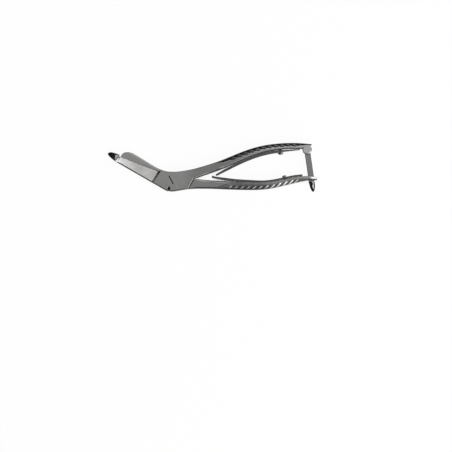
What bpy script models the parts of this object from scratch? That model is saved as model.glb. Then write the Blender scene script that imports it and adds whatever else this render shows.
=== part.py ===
"""Angled plaster shears, in metres with +Z up.

The shears lie flat on their rear face. X runs along the handles, Y across them and Z through
their thickness. The origin is on the axis of the joint screw, on the rear face.
The upper half carries the upper handle, the front joint plate and the lower blade with its
probe. The lower half carries the lower handle, the rear joint plate and the upper blade.
Each half is one forging: a single skin lofted through cross sections, then drilled and slotted.
"""

import math

import bmesh
import bpy
import numpy as np
from mathutils import Matrix, Vector

# Clearances
SEAT_GAP = 0.0003
LAP_GAP = 0.0003
PIN_GAP = 0.00012

# Both halves
THICKNESS = 0.0080
SHANK_ROUND = 0.0011
GRIP_ROUND = 0.0050
END_ROUND = 0.0022
UPPER_INNER_ROUND = 0.0023
LOWER_INNER_ROUND = 0.0014
PLATE_ROUND = 0.0004
PLATE_BACK_ROUND = 0.0009

# Joint plates, from the screw axis
PLATE_TOP = 0.0093
PLATE_BOTTOM = 0.0135
REAR_PLATE_RADIUS = 0.0130
CROTCH_X = 0.02565
CROTCH_Y = 0.00135
LAP_FRONT_X = 0.01915
LAP_REAR_X = 0.0205
WALL_LEAN = 0.0001

# Blades, in a frame turned by the blade angle about the screw axis
BLADE_ANGLE = 30.0
BLADE_REACH = 0.0632
SHOULDER = 0.0156
SHOULDER_CREST = 0.0006
SHOULDER_DIP = 0.10
SHOULDER_RUN = 0.0019
SHOULDER_LEAN = 0.0006
BACK_OFFSET = 0.0136
EDGE_HEEL = 0.0018
EDGE_TIP = -0.0062
EDGE_LAP = 0.0013
EDGE_LAND = 0.0004
EDGE_ROUND = 0.00012
TEETH = 30
TOOTH_DEPTH = 0.0002
BACK_HEEL_HEIGHT = 0.0035
BACK_TIP_HEIGHT = 0.0023
BACK_ROUND = 0.0008
BELLY_HEEL = 0.0037
BELLY_CREST = 0.0046
BELLY_RUN = 0.0126
BELLY_DROP = 0.0082

# Probe at the end of the lower blade
PROBE_LENGTH = 0.0133
PROBE_DEPTH = 0.0092
PROBE_GAP = 0.0007
PROBE_ROUND = 0.0024
PROBE_INNER_ROUND = 0.0014
PROBE_NOTCH = 0.0067
PROBE_EDGE = 0.0004
# Each row: share of the probe's length, then of its depth at the top and at the sole, then of
# the thickness at the front and at the rear.
PROBE_FORM = (
    (0.42, 0.92, 0.02, 1.00, 0.04),
    (0.65, 0.84, 0.08, 0.93, 0.06),
    (0.85, 0.74, 0.18, 0.82, 0.13),
    (0.955, 0.60, 0.27, 0.70, 0.24),
    (1.00, 0.48, 0.36, 0.58, 0.38),
)
PROBE_FACET_TOP = 0.11
PROBE_RIDGE_LEAN = 0.26
PROBE_SADDLE = 0.45

# Handles, from the joint plates to the catch
HANDLE_LENGTH = 0.1544
HANDLE_START = 0.0290
# Each row: share of the way from the plates to the catch, height of the centre line, width
UPPER_FORM = (
    (0.0, 0.0078, 0.0109),
    (0.120, 0.01255, 0.0103),
    (0.248, 0.0184, 0.0097),
    (0.4065, 0.0269, 0.0091),
    (0.5666, 0.03395, 0.0081),
    (0.7254, 0.0376, 0.0073),
    (0.8535, 0.03865, 0.0068),
    (0.9643, 0.0384, 0.0064),
    (1.016, 0.0382, 0.0055),
)
LOWER_FORM = (
    (0.0, -0.0046, 0.0110),
    (0.120, -0.0053, 0.0097),
    (0.248, -0.0061, 0.0094),
    (0.4065, -0.0070, 0.0088),
    (0.5346, -0.0073, 0.0083),
    (0.6454, -0.0066, 0.0077),
    (0.7660, -0.0038, 0.0073),
    (0.8855, -0.0004, 0.0069),
    (0.9643, 0.0012, 0.0060),
    (1.005, 0.0018, 0.0054),
    (1.0443, 0.00175, 0.0047),
    (1.0739, 0.0011, 0.0038),
    (1.0874, 0.0010, 0.0030),
)

# Slanted flutes in the rounded outer side of each grip, clear of its outermost line
FLUTE_COUNT = 12
FLUTE_FROM = 0.268
FLUTE_TO = 0.920
FLUTE_DEPTH = 0.00075
FLUTE_LEAN = 0.0070
FLUTE_FADE = 0.0100
FLUTE_CLEAR = 0.14

# Joint screw
SCREW_HEAD_RADIUS = 0.0052
SCREW_HEAD_DEPTH = 0.0022
SCREW_SHANK_RADIUS = 0.0030
SCREW_SLOT_WIDTH = 0.0011
SCREW_SLOT_DEPTH = 0.0009
SCREW_SLOT_TURN = 27.9
SCREW_RECESS = 0.0001

# Oil notch in the lower corner of the front plate
NOTCH_RADIUS = 0.00135
NOTCH_DEPTH = 0.0055
NOTCH_X = -0.0024

# Leaf springs
SPRING_WIDTH = 0.0060
SPRING_EDGE = 0.0004
UPPER_TIP_NARROW = 0.75
SPRING_TIP_GAP = 0.0034
TAIL_ROOM = 0.0030
LIP_RADIUS = 0.0014
SPRING_MEET = 0.175
SPRING_MEET_UP = 0.58
SPRING_LIFT = 0.375
# Each row: share of the way from the free tip (0) to the screw (1) and on to the tail's end (2),
# thickness there, lift off the handle
UPPER_LEAF = (
    (0.0, 0.0020, 0.0),
    (0.17, 0.0029, 0.0),
    (0.48, 0.0029, 0.0),
    (0.75, 0.0031, 0.0),
    (0.93, 0.0029, 0.0001),
    (1.16, 0.0020, 0.0006),
    (1.36, 0.0017, 0.0007),
    (1.66, 0.0015, 0.0004),
    (2.0, 0.0009, 0.0),
)
LOWER_LEAF = (
    (0.0, 0.0020, 0.0),
    (0.16, 0.0029, 0.0),
    (0.46, 0.0027, 0.0),
    (0.70, 0.0021, 0.0),
    (2.0, 0.0019, 0.0),
)

# Spring screws
UPPER_HEAD_RADIUS = 0.0032
LOWER_HEAD_RADIUS = 0.0025
HEAD_HEIGHT = 0.72
SPRING_SCREW_RADIUS = 0.0013
SPRING_SCREW_DEPTH = 0.0042
SPRING_SCREW_SLOT = 0.0008
UPPER_SCREW_BACK = 0.0308
LOWER_SCREW_BACK = 0.0244

# Catch: ear, rivet, bar and fork
EAR_RADIUS = 0.0052
EAR_DROP = 0.0039
EAR_CHAMFER = 0.0006
SPIKE_REACH = 0.0053
BAR_THICKNESS = 0.0023
BAR_WIDTH = 0.0065
BAR_TILT = 8.2
BAR_CHAMFER = 0.0003
TONGUE_LENGTH = 0.0124
TONGUE_BEVEL_IN = 0.54
TONGUE_BEVEL_OUT = 0.24
TONGUE_LAND_DROP = 0.00025
NOSE_REACH = 0.0009
NOSE_SLOPE = 0.0016
RIVET_RADIUS = 0.0015
SWING_IN = 1.8
SWING_OUT = 90.0
BALL_RADIUS = 0.0013

# Facets: the outer side's steps as angles from its middle line, and the flutes' steps
OUTER_TURNS = (90, 78, 66, 54, 42, 26, 0, -26, -42, -54, -66, -78, -90)
FLUTE_STEPS = 6
ROUND_STEPS = 32

MIDDLE = THICKNESS / 2
FRONT_LAP = MIDDLE + LAP_GAP / 2
REAR_LAP = MIDDLE - LAP_GAP / 2


class Smooth:
    """A smooth height for each place along X: a natural cubic spline."""

    def __init__(self, places, heights):
        self.x = np.array(places, float)
        self.y = np.array(heights, float)
        step = np.diff(self.x)
        rise = np.diff(self.y) / step
        rows = np.eye(len(self.x))
        bend = np.zeros(len(self.x))
        for k in range(1, len(self.x) - 1):
            rows[k, k - 1 : k + 2] = step[k - 1], 2 * (step[k - 1] + step[k]), step[k]
            bend[k] = 6 * (rise[k] - rise[k - 1])
        self.bend = np.linalg.solve(rows, bend)

    def at(self, x):
        k = int(np.clip(np.searchsorted(self.x, x) - 1, 0, len(self.x) - 2))
        step = self.x[k + 1] - self.x[k]
        a = (self.x[k + 1] - x) / step
        b = 1 - a
        curl = (a**3 - a) * self.bend[k] + (b**3 - b) * self.bend[k + 1]
        return float(a * self.y[k] + b * self.y[k + 1] + curl * step**2 / 6)

    def slope(self, x, reach=0.0002):
        return (self.at(x + reach) - self.at(x - reach)) / (2 * reach)


class Handle:
    """Centre line, width and roundings of one handle. side is +1 where its outer edge is up."""

    def __init__(self, form, side, inner_round, screw, leaf):
        places = [self.place(share) for share, _, _ in form]
        self.centre = Smooth(places, [height for _, height, _ in form])
        self.width = Smooth(places, [width for _, _, width in form])
        self.side = side
        self.inner_round = inner_round
        self.end = places[-1]
        self.screw = screw
        self.leaf = leaf
        self.grip = self.place(FLUTE_FROM)
        self.grip_end = self.place(FLUTE_TO)
        self.pitch = (self.grip_end - self.grip) / FLUTE_COUNT

    def place(self, share):
        """Place along X of a share of the way from the joint plates to the catch."""
        return HANDLE_START + share * (HANDLE_LENGTH - HANDLE_START)

    def edges(self, x):
        """Outer and inner edge points of the cross section at x."""
        along = Vector((1.0, self.centre.slope(x))).normalized()
        out = Vector((-along.y, along.x)) * self.side
        centre = Vector((x, self.centre.at(x)))
        half = out * self.width.at(x) / 2
        return centre + half, centre - half

    def fluting(self, x):
        """How far the flutes have set in: 0 on the plain shank, 1 along the grip."""
        rise = (x - self.grip) / FLUTE_FADE + 1
        fall = (self.grip_end - x) / FLUTE_FADE + 1
        return max(0.0, min(1.0, rise, fall))

    def dent(self, x):
        """Depth of the scoops at x, 0 on the ridges between them."""
        turns = (x - self.grip) / self.pitch
        if not 0.0 < turns < FLUTE_COUNT:
            return 0.0
        last = min(1.0, FLUTE_COUNT - turns)
        return FLUTE_DEPTH * last * max(0.0, math.sin(math.pi * (turns % 1.0))) ** 0.8

    def pressed(self, x, fall):
        """Depth of the scoops at x for a place on the rounding: 0 at its outermost line, 1 inside."""
        share = max(0.0, (fall - FLUTE_CLEAR) / (1 - FLUTE_CLEAR))
        return self.dent(x) * math.sin(math.pi * share) ** 0.8

    def round_out(self, x):
        """Width of the rounded outer side: thin on the shank, most of the width on the grip."""
        share = self.fluting(x)
        plain = SHANK_ROUND if x < self.grip else END_ROUND
        rounded = plain + (GRIP_ROUND - plain) * share * share * (3 - 2 * share)
        return min(rounded, 0.6 * self.width.at(x))


def clear_scene():
    for old in list(bpy.data.objects):
        bpy.data.objects.remove(old, do_unlink=True)


def blade_point(along, across):
    """A point of the turned blade frame, along the blade and across it towards its top."""
    turn = math.radians(BLADE_ANGLE)
    return Vector(
        (
            -along * math.cos(turn) + across * math.sin(turn),
            along * math.sin(turn) + across * math.cos(turn),
        )
    )


def between(a, b, count):
    """count points from a to b, both kept."""
    return [a + (b - a) * k / (count - 1) for k in range(count)]


def space_point(flat, z):
    return Vector((flat.x, flat.y, z))


def section(outer, inner, front, back, round_out, round_in):
    """One closed cross section, from the outer edge to the inner edge and round.

    front and back are pairs of heights, at the outer and at the inner edge. The outer side is
    half an ellipse, and the two inner corners are quarter circles.
    """
    across = outer - inner
    width = across.length
    across.normalize()
    middle = (front[0] + back[0]) / 2
    half = (front[0] - back[0]) / 2
    ring = []
    for turn in map(math.radians, OUTER_TURNS):
        place = inner + across * (width - round_out * (1 - math.cos(turn)))
        ring.append(space_point(place, middle + half * math.sin(turn)))
    return ring + inner_corners(inner, across, front[1], back[1], round_in)


def inner_corners(inner, across, front, back, round_in):
    """The two inner corners. round_in is one radius, or a pair for the front and the back."""
    front_round, back_round = round_in if isinstance(round_in, tuple) else (round_in, round_in)
    ring = []
    for height, way, radius in ((back, 1, back_round), (front, -1, front_round)):
        radius = min(radius, 0.45 * (front - back))
        corner = []
        for turn in (0.0, math.pi / 4, math.pi / 2):
            place = inner + across * radius * (1 - math.sin(turn))
            corner.append(space_point(place, height + way * radius * (1 - math.cos(turn))))
        ring += corner[::way]
    return ring


def handle_section(handle, x):
    """Cross section of a handle at x, with the flutes' scoops pressed into its outer side."""
    lean = FLUTE_LEAN * handle.fluting(x)
    ring = []
    for turn in map(math.radians, OUTER_TURNS):
        share = 1 - math.cos(turn)
        place = x + lean * share
        outer, inner = handle.edges(place)
        across = (outer - inner).normalized()
        pressed = handle.pressed(x, share)
        fall = handle.round_out(place) * share + pressed * math.cos(turn)
        height = (MIDDLE - pressed) * math.sin(turn)
        ring.append(space_point(outer - across * fall, MIDDLE + height))
    outer, inner = handle.edges(x + lean)
    across = (outer - inner).normalized()
    radius = min(handle.inner_round, 0.3 * handle.width.at(x + lean))
    return ring + inner_corners(inner, across, THICKNESS, 0.0, radius)


def handle_places(handle):
    """Where the handle's cross sections stand along X."""
    shank = list(np.linspace(HANDLE_START, handle.grip - FLUTE_FADE, 5))
    shank += [handle.grip - FLUTE_FADE / 2]
    steps = FLUTE_COUNT * FLUTE_STEPS
    grip = [handle.grip + handle.pitch * k / FLUTE_STEPS for k in range(steps + 1)]
    end = list(np.linspace(handle.grip_end + FLUTE_FADE / 2, handle.end, 5))
    return shank + grip + end


def mesh_object(name, bm, material=None):
    mesh = bpy.data.meshes.new(name)
    bm.to_mesh(mesh)
    bm.free()
    made = bpy.data.objects.new(name, mesh)
    bpy.context.scene.collection.objects.link(made)
    if material:
        mesh.materials.append(material)
    return made


def loft(name, rings, material=None):
    """A closed skin through rings of equal count, capped at both ends."""
    bm = bmesh.new()
    rows = [[bm.verts.new(point) for point in ring] for ring in rings]
    for first, second in zip(rows, rows[1:]):
        for k in range(len(first)):
            m = (k + 1) % len(first)
            bm.faces.new((first[k], first[m], second[m], second[k]))
    bm.faces.new(rows[0])
    bm.faces.new(rows[-1])
    bmesh.ops.remove_doubles(bm, verts=bm.verts, dist=1e-6)
    bmesh.ops.dissolve_degenerate(bm, edges=bm.edges, dist=1e-6)
    bmesh.ops.triangulate(bm, faces=bm.faces)
    bmesh.ops.recalc_face_normals(bm, faces=bm.faces)
    if bm.calc_volume(signed=True) < 0:
        bmesh.ops.reverse_faces(bm, faces=bm.faces)
    return mesh_object(name, bm, material)


def prism(name, outline, low, high):
    """A flat outline raised from low to high."""
    bm = bmesh.new()
    base = bm.faces.new([bm.verts.new(space_point(point, low)) for point in outline])
    raised = bmesh.ops.extrude_face_region(bm, geom=[base])["geom"]
    moved = [item for item in raised if isinstance(item, bmesh.types.BMVert)]
    bmesh.ops.translate(bm, vec=(0, 0, high - low), verts=moved)
    bmesh.ops.recalc_face_normals(bm, faces=bm.faces)
    return mesh_object(name, bm)


def turned(name, profile, start, axis, material=None, steps=ROUND_STEPS):
    """A profile of (radius, distance) pairs turned about an axis through start."""
    aim = Vector(axis).to_track_quat("Z", "Y").to_matrix().to_4x4()
    place = Matrix.Translation(start) @ aim
    rings = []
    for radius, distance in profile:
        ring = []
        for k in range(steps):
            turn = 2 * math.pi * (k + 0.5) / steps
            point = Vector((radius * math.cos(turn), radius * math.sin(turn), distance))
            ring.append(place @ point)
        rings.append(ring)
    return loft(name, rings, material)


def combine(target, tool, operation):
    """Joins or cuts target with tool, keeps the result and removes the tool."""
    tool.hide_render = True
    tool.display_type = "WIRE"
    step = target.modifiers.new(operation.title(), "BOOLEAN")
    step.operation = operation
    step.solver = "EXACT"
    step.object = tool
    graph = bpy.context.evaluated_depsgraph_get()
    result = bpy.data.meshes.new_from_object(target.evaluated_get(graph))
    target.modifiers.remove(step)
    old = target.data
    target.data = result
    result.name = target.name
    bpy.data.meshes.remove(old)
    bpy.data.objects.remove(tool, do_unlink=True)
    return target


def cut(target, tool):
    return combine(target, tool, "DIFFERENCE")


def join(target, tool):
    return combine(target, tool, "UNION")


def steel(name, colour, roughness):
    material = bpy.data.materials.new(name)
    material.use_nodes = True
    shader = material.node_tree.nodes["Principled BSDF"]
    shader.inputs["Base Color"].default_value = (*colour, 1.0)
    shader.inputs["Metallic"].default_value = 1.0
    shader.inputs["Roughness"].default_value = roughness
    return material


def plate_top():
    """Top edge that both joint plates share, sagging between the blade and the handle."""
    heel = blade_point(SHOULDER + 0.0105, BELLY_HEEL)
    start = UPPER.edges(HANDLE_START)[0]
    return Smooth(
        (heel.x, heel.x * 0.66, heel.x * 0.31, 0.0, 0.0065, 0.0145, start.x),
        (
            heel.y,
            PLATE_TOP + (heel.y - PLATE_TOP) * 0.50,
            PLATE_TOP + (heel.y - PLATE_TOP) * 0.11,
            PLATE_TOP,
            PLATE_TOP + (start.y - PLATE_TOP) * 0.03,
            PLATE_TOP + (start.y - PLATE_TOP) * 0.29,
            start.y,
        ),
    )


def plate_bottom():
    """Bottom edge that both joint plates share, from the corner to the lower handle."""
    start = LOWER.edges(HANDLE_START)[0]
    span = PLATE_BOTTOM + start.y
    return Smooth(
        (-0.0005, 0.0060, 0.0125, LAP_FRONT_X, start.x),
        (
            -PLATE_BOTTOM,
            -PLATE_BOTTOM + 0.24 * span,
            -PLATE_BOTTOM + 0.56 * span,
            -PLATE_BOTTOM + 0.86 * span,
            start.y,
        ),
    )


def curve_points(curve, first, last, count):
    return [Vector((x, curve.at(x))) for x in np.linspace(first, last, count)]


def belly(along):
    """Height of the upper blade's back across the blade line."""
    crest_at = BLADE_REACH - BELLY_RUN
    rise = (along - SHOULDER) / (crest_at - SHOULDER)
    level = BELLY_HEEL + (BELLY_CREST - BELLY_HEEL) * min(1.0, rise)
    share = max(0.0, min(1.0, (along - crest_at) / BELLY_RUN))
    return level - BELLY_DROP * (1 - math.sqrt(1 - share * share))


def lower_edge(along):
    """Height of the lower blade's cutting edge across the blade line."""
    share = (along - SHOULDER) / (BLADE_REACH - SHOULDER)
    return EDGE_HEEL + (EDGE_TIP - EDGE_HEEL) * share


def blade_back_height(along):
    """How far the ground face stands off the lap face at the blade's back."""
    share = (along - SHOULDER) / (BLADE_REACH - SHOULDER)
    return BACK_HEEL_HEIGHT + (BACK_TIP_HEIGHT - BACK_HEEL_HEIGHT) * share


def probe_rings():
    """The blunt probe from its nose back to the facet that falls to the blade."""
    root = BLADE_REACH + PROBE_GAP
    sole = -BACK_OFFSET
    rings = []
    for along, top, bottom, front, back in reversed(PROBE_FORM):
        lean = PROBE_RIDGE_LEAN * (1 - (along - PROBE_FORM[0][0]) / (1 - PROBE_FORM[0][0]))
        rings.append(
            section(
                blade_point(root + along * PROBE_LENGTH, sole + top * PROBE_DEPTH),
                blade_point(root + (along - lean) * PROBE_LENGTH, sole + bottom * PROBE_DEPTH),
                (front * THICKNESS, front * THICKNESS),
                (back * THICKNESS, back * THICKNESS),
                min(PROBE_ROUND, 0.4 * (top - bottom) * PROBE_DEPTH),
                min(PROBE_INNER_ROUND, 0.3 * (top - bottom) * PROBE_DEPTH),
            )
        )
    face = FRONT_LAP + blade_back_height(BLADE_REACH)
    facet_top = blade_point(root + PROBE_FACET_TOP * PROBE_LENGTH, sole + PROBE_DEPTH)
    facet_sole = blade_point(root + PROBE_FACET_TOP * PROBE_LENGTH, sole)
    saddle = face - (blade_back_height(BLADE_REACH) - EDGE_LAND) * PROBE_SADDLE
    floor = PROBE_FORM[0][4] * THICKNESS
    rings.append(
        section(facet_top, facet_sole, (face, face), (floor, floor), PROBE_EDGE, PROBE_EDGE)
    )
    for along, low in ((root, floor), (root - WALL_LEAN, FRONT_LAP)):
        rings.append(
            section(
                blade_point(along, sole + PROBE_NOTCH), blade_point(along, sole),
                (saddle, face), (low, low), PROBE_EDGE, PROBE_EDGE,
            )
        )
    return rings


def lower_blade_rings():
    """The lower blade: flat behind, its front ground down from the back to the toothed edge."""
    rings = []
    for k, along in enumerate(between(BLADE_REACH - 0.0004, SHOULDER + SHOULDER_RUN, 2 * TEETH + 1)):
        slant = SHOULDER_LEAN * (BLADE_REACH - along) / (BLADE_REACH - SHOULDER)
        rings.append(
            section(
                blade_point(along, lower_edge(along) - TOOTH_DEPTH * (k % 2)),
                blade_point(along + slant, -BACK_OFFSET),
                (FRONT_LAP + EDGE_LAND, FRONT_LAP + blade_back_height(along)),
                (FRONT_LAP, FRONT_LAP),
                EDGE_ROUND,
                BACK_ROUND,
            )
        )
    return rings


def front_plate_rings():
    """The front joint plate, from the blade's shoulder to the lap's shoulder."""
    top = plate_top()
    bottom = plate_bottom()
    shoulder_top = blade_point(SHOULDER, BELLY_HEEL - 0.0004)
    shoulder_back = blade_point(SHOULDER + SHOULDER_LEAN, -BACK_OFFSET)
    corner = blade_point(0.0, -BACK_OFFSET)
    bend = (blade_point(-0.0030, 0.0004 - BACK_OFFSET), blade_point(-0.0047, 0.0013 - BACK_OFFSET))
    crotch = Vector((CROTCH_X, CROTCH_Y))
    uppers = [shoulder_top] + curve_points(top, shoulder_top.x + 0.0012, -0.0045, 4)
    lowers = between(shoulder_back, corner, 5)
    uppers += curve_points(top, -0.0030, 0.0130, 8)
    lowers += [*bend] + curve_points(bottom, 0.0010, LAP_FRONT_X, 6)
    uppers += curve_points(top, 0.0150, LAP_REAR_X, 4)
    lowers += between(lowers[-1], crotch, 5)[1:]
    edge_drop = (THICKNESS - FRONT_LAP - EDGE_LAND) * SHOULDER_DIP
    back_drop = (THICKNESS - FRONT_LAP - BACK_HEEL_HEIGHT) * SHOULDER_DIP
    rings = [
        section(
            blade_point(SHOULDER + SHOULDER_CREST, BELLY_HEEL - 0.0010),
            blade_point(SHOULDER + SHOULDER_CREST + SHOULDER_LEAN, -BACK_OFFSET),
            (THICKNESS - edge_drop, THICKNESS - back_drop), (FRONT_LAP, FRONT_LAP),
            PLATE_ROUND, (PLATE_BACK_ROUND, PLATE_ROUND),
        )
    ]
    for outer, inner in zip(uppers, lowers):
        eased = PLATE_BACK_ROUND if inner.x < LAP_FRONT_X - 0.001 else PLATE_ROUND
        rings.append(
            section(
                outer, inner, (THICKNESS, THICKNESS), (FRONT_LAP, FRONT_LAP),
                PLATE_ROUND, (eased, PLATE_ROUND),
            )
        )
    wall = Vector((WALL_LEAN, 0.0))
    rings.append(
        section(
            uppers[-1] + wall, crotch + wall, (THICKNESS, THICKNESS), (0.0, 0.0),
            PLATE_ROUND, PLATE_ROUND,
        )
    )
    return rings


def upper_blade_rings():
    """The upper blade: flat in front, its rear ground down from the back to the cutting edge."""
    crest_at = BLADE_REACH - BELLY_RUN
    nose = [BLADE_REACH - BELLY_RUN * (1 - math.sin(math.radians(turn))) for turn in
            (90, 75, 60, 45, 30, 15)]
    rings = []
    for along in nose + between(crest_at, SHOULDER + 0.0110, 4):
        back = REAR_LAP - blade_back_height(along)
        rings.append(
            section(
                blade_point(min(along, BLADE_REACH - 0.0003), lower_edge(along) - EDGE_LAP),
                blade_point(along, belly(along)),
                (REAR_LAP, REAR_LAP),
                (REAR_LAP - EDGE_LAND, back),
                EDGE_ROUND,
                BACK_ROUND,
            )
        )
    return rings


def rear_plate_rings():
    """The rear joint plate, hidden behind the front one, up to its lap shoulder."""
    top = plate_top()
    bottom = plate_bottom()
    corner = Vector((CROTCH_X + SEAT_GAP, CROTCH_Y - SEAT_GAP))
    lap_foot = Vector((LAP_FRONT_X + SEAT_GAP, bottom.at(LAP_FRONT_X + SEAT_GAP)))
    lap_top = Vector((LAP_REAR_X - SEAT_GAP, top.at(LAP_REAR_X - SEAT_GAP)))
    heel = blade_point(SHOULDER + 0.0060, lower_edge(SHOULDER + 0.0060) - EDGE_LAP)
    arc = []
    for turn in np.linspace(170.0, 262.0, 7):
        way = Vector((math.cos(math.radians(turn)), math.sin(math.radians(turn))))
        arc.append(way * REAR_PLATE_RADIUS)
    lowers = [heel] + arc + curve_points(bottom, 0.0030, lap_foot.x, 6)
    uppers = curve_points(top, blade_point(SHOULDER + 0.0060, BELLY_HEEL).x, 0.0130, 10)
    uppers += curve_points(top, 0.0160, lap_top.x, 2)
    uppers += [lap_top + (corner - lap_top) * 0.5, corner - Vector((SEAT_GAP * 1.8, 0.0))]
    lowers = lowers[: len(uppers)]
    rings = []
    for outer, inner in zip(lowers, uppers):
        rings.append(
            section(
                outer, inner, (REAR_LAP, REAR_LAP), (0.0, 0.0), PLATE_ROUND, PLATE_ROUND
            )
        )
    wall = Vector((WALL_LEAN, 0.0))
    for height, shift in ((REAR_LAP, 0.0 * wall), (THICKNESS, wall)):
        rings.append(
            section(
                lap_foot + shift, corner + shift, (height, height), (0.0, 0.0),
                PLATE_ROUND, PLATE_ROUND,
            )
        )
    return rings


def spring_seat(handle, place):
    """A point of the handle's inner edge, and the way out of it."""
    outer, inner = handle.edges(place)
    return inner, (inner - outer).normalized()


def drill_spring_screw(half, handle):
    seat, out = spring_seat(handle, handle.screw)
    floor = seat - out * (SPRING_SCREW_DEPTH + SEAT_GAP)
    radius = SPRING_SCREW_RADIUS + PIN_GAP
    depth = SPRING_SCREW_DEPTH + 0.002
    profile = ((radius, 0.0), (radius, depth))
    cut(half, turned("spring_screw_drill", profile, space_point(floor, MIDDLE), (*out, 0.0), steps=16))


def ear_centre():
    return Vector((HANDLE_LENGTH, UPPER.centre.at(HANDLE_LENGTH) - EAR_DROP))


def bar_way(turn=0.0):
    """Directions along the catch bar and across it, outwards, swung out by turn degrees."""
    angle = math.radians(-90.0 + BAR_TILT + turn)
    along = Vector((math.cos(angle), math.sin(angle)))
    return along, Vector((-along.y, along.x))


def bar_point(along, across, turn=0.0):
    way, out = bar_way(turn)
    return ear_centre() + way * along + out * across


def swing_slot_outline():
    """The flat shape that the catch bar sweeps inside the ear, with room round it."""
    radius = BAR_WIDTH / 2 + SEAT_GAP
    reach = 0.0140
    inward = -SWING_IN - 0.4
    outward = SWING_OUT + 0.6
    outline = [bar_point(reach, -radius, inward), bar_point(0.0, -radius, inward)]
    for k in range(1, 12):
        turn = inward + (outward + 180.0 - inward) * k / 12
        swing = inward - (180.0 - (outward - inward)) * k / 12
        outline.append(bar_point(0.0, -radius, swing))
    outline += [bar_point(0.0, radius, outward), bar_point(reach, radius, outward)]
    outline.append(bar_point(reach * 1.3, 0.0, (inward + outward) / 2))
    return outline


def slot_heights():
    gap = SEAT_GAP
    return MIDDLE - BAR_THICKNESS / 2 - gap, MIDDLE + BAR_THICKNESS / 2 + gap


def make_upper_half(material):
    rings = probe_rings() + lower_blade_rings() + front_plate_rings()
    rings += [handle_section(UPPER, x) for x in handle_places(UPPER)]
    outer, inner = UPPER.edges(UPPER.end)
    spike = Vector((HANDLE_LENGTH + SPIKE_REACH, outer.y - 0.0002))
    stub = Vector((HANDLE_LENGTH + SPIKE_REACH - 0.0014, inner.y + 0.0012))
    rings.append(
        section(spike, stub, (THICKNESS, THICKNESS), (0.0, 0.0), END_ROUND, PLATE_ROUND)
    )
    half = loft("upper_half", rings, material)
    ear = space_point(ear_centre(), 0.0)
    rim = EAR_RADIUS - EAR_CHAMFER
    disc = (
        (rim, 0.0),
        (EAR_RADIUS, EAR_CHAMFER),
        (EAR_RADIUS, THICKNESS - EAR_CHAMFER),
        (rim, THICKNESS),
    )
    join(half, turned("ear_disc", disc, ear, (0, 0, 1)))
    cut(half, prism("swing_slot", swing_slot_outline(), *slot_heights()))
    hole = RIVET_RADIUS + PIN_GAP
    below = ear - Vector((0, 0, 0.001))
    drill = ((hole, 0.0), (hole, THICKNESS + 0.002))
    cut(half, turned("rivet_drill", drill, below, (0, 0, 1), steps=24))
    pocket = SCREW_HEAD_RADIUS + PIN_GAP
    shank = SCREW_SHANK_RADIUS + PIN_GAP
    floor = THICKNESS - SCREW_HEAD_DEPTH - SCREW_RECESS - SEAT_GAP
    counterbore = (
        (shank, MIDDLE - 0.001),
        (shank, floor),
        (pocket, floor),
        (pocket, THICKNESS + 0.001),
    )
    cut(half, turned("counterbore", counterbore, (0, 0, 0), (0, 0, 1), steps=48))
    cut(half, notch_cutter())
    drill_spring_screw(half, UPPER)
    return half


def notch_cutter():
    """A drop whose tail runs out through the plate's lower corner."""
    head = Vector((NOTCH_X, -PLATE_BOTTOM + NOTCH_DEPTH - NOTCH_RADIUS))
    tail = Vector((NOTCH_X - 0.0008, -PLATE_BOTTOM - 0.0020))
    outline = [tail + Vector((0.0004, 0.0)), tail - Vector((0.0004, 0.0))]
    for turn in np.linspace(200.0, -20.0, 10):
        way = Vector((math.cos(math.radians(turn)), math.sin(math.radians(turn))))
        outline.append(head + way * NOTCH_RADIUS)
    return prism("notch", outline, FRONT_LAP - 0.001, THICKNESS + 0.001)


def fork_root():
    """The fork slot's floor, parallel to the hanging bar and clear of its nose."""
    return -(BAR_WIDTH / 2 + NOSE_REACH + SEAT_GAP)


def fork_outline():
    root = fork_root()
    reach = ear_centre().y
    return [
        bar_point(reach - 0.014, root),
        bar_point(reach + 0.010, root),
        bar_point(reach + 0.010, 0.0160),
        bar_point(reach - 0.014, 0.0160),
    ]


def nose_start():
    """Distance along the bar of its nose: just past the underside of the fork's root."""
    way, out = bar_way()
    lowest = 0.0
    for x in np.linspace(HANDLE_LENGTH - 0.004, HANDLE_LENGTH + 0.004, 33):
        offset = LOWER.edges(x)[0] - ear_centre()
        if -0.0030 < offset.dot(out) - fork_root() < 0.0012:
            lowest = max(lowest, offset.length)
    return lowest + SEAT_GAP


def make_lower_half(material):
    rings = upper_blade_rings() + rear_plate_rings()
    rings += [handle_section(LOWER, x) for x in handle_places(LOWER)]
    half = loft("lower_half", rings, material)
    cut(half, prism("fork_slot", fork_outline(), *slot_heights()))
    tip = LOWER.centre.at(LOWER.end)
    for z in (BALL_RADIUS, THICKNESS - BALL_RADIUS):
        join(half, ball("tine_ball", Vector((LOWER.end, tip, z)), BALL_RADIUS))
    radius = SCREW_SHANK_RADIUS + PIN_GAP
    drill = ((radius, -0.001), (radius, MIDDLE + 0.001))
    cut(half, turned("screw_drill", drill, (0, 0, 0), (0, 0, 1), steps=48))
    drill_spring_screw(half, LOWER)
    return half


def ball(name, centre, radius):
    bm = bmesh.new()
    bmesh.ops.create_icosphere(bm, subdivisions=2, radius=radius)
    bmesh.ops.translate(bm, vec=centre, verts=bm.verts)
    return mesh_object(name, bm)


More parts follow.
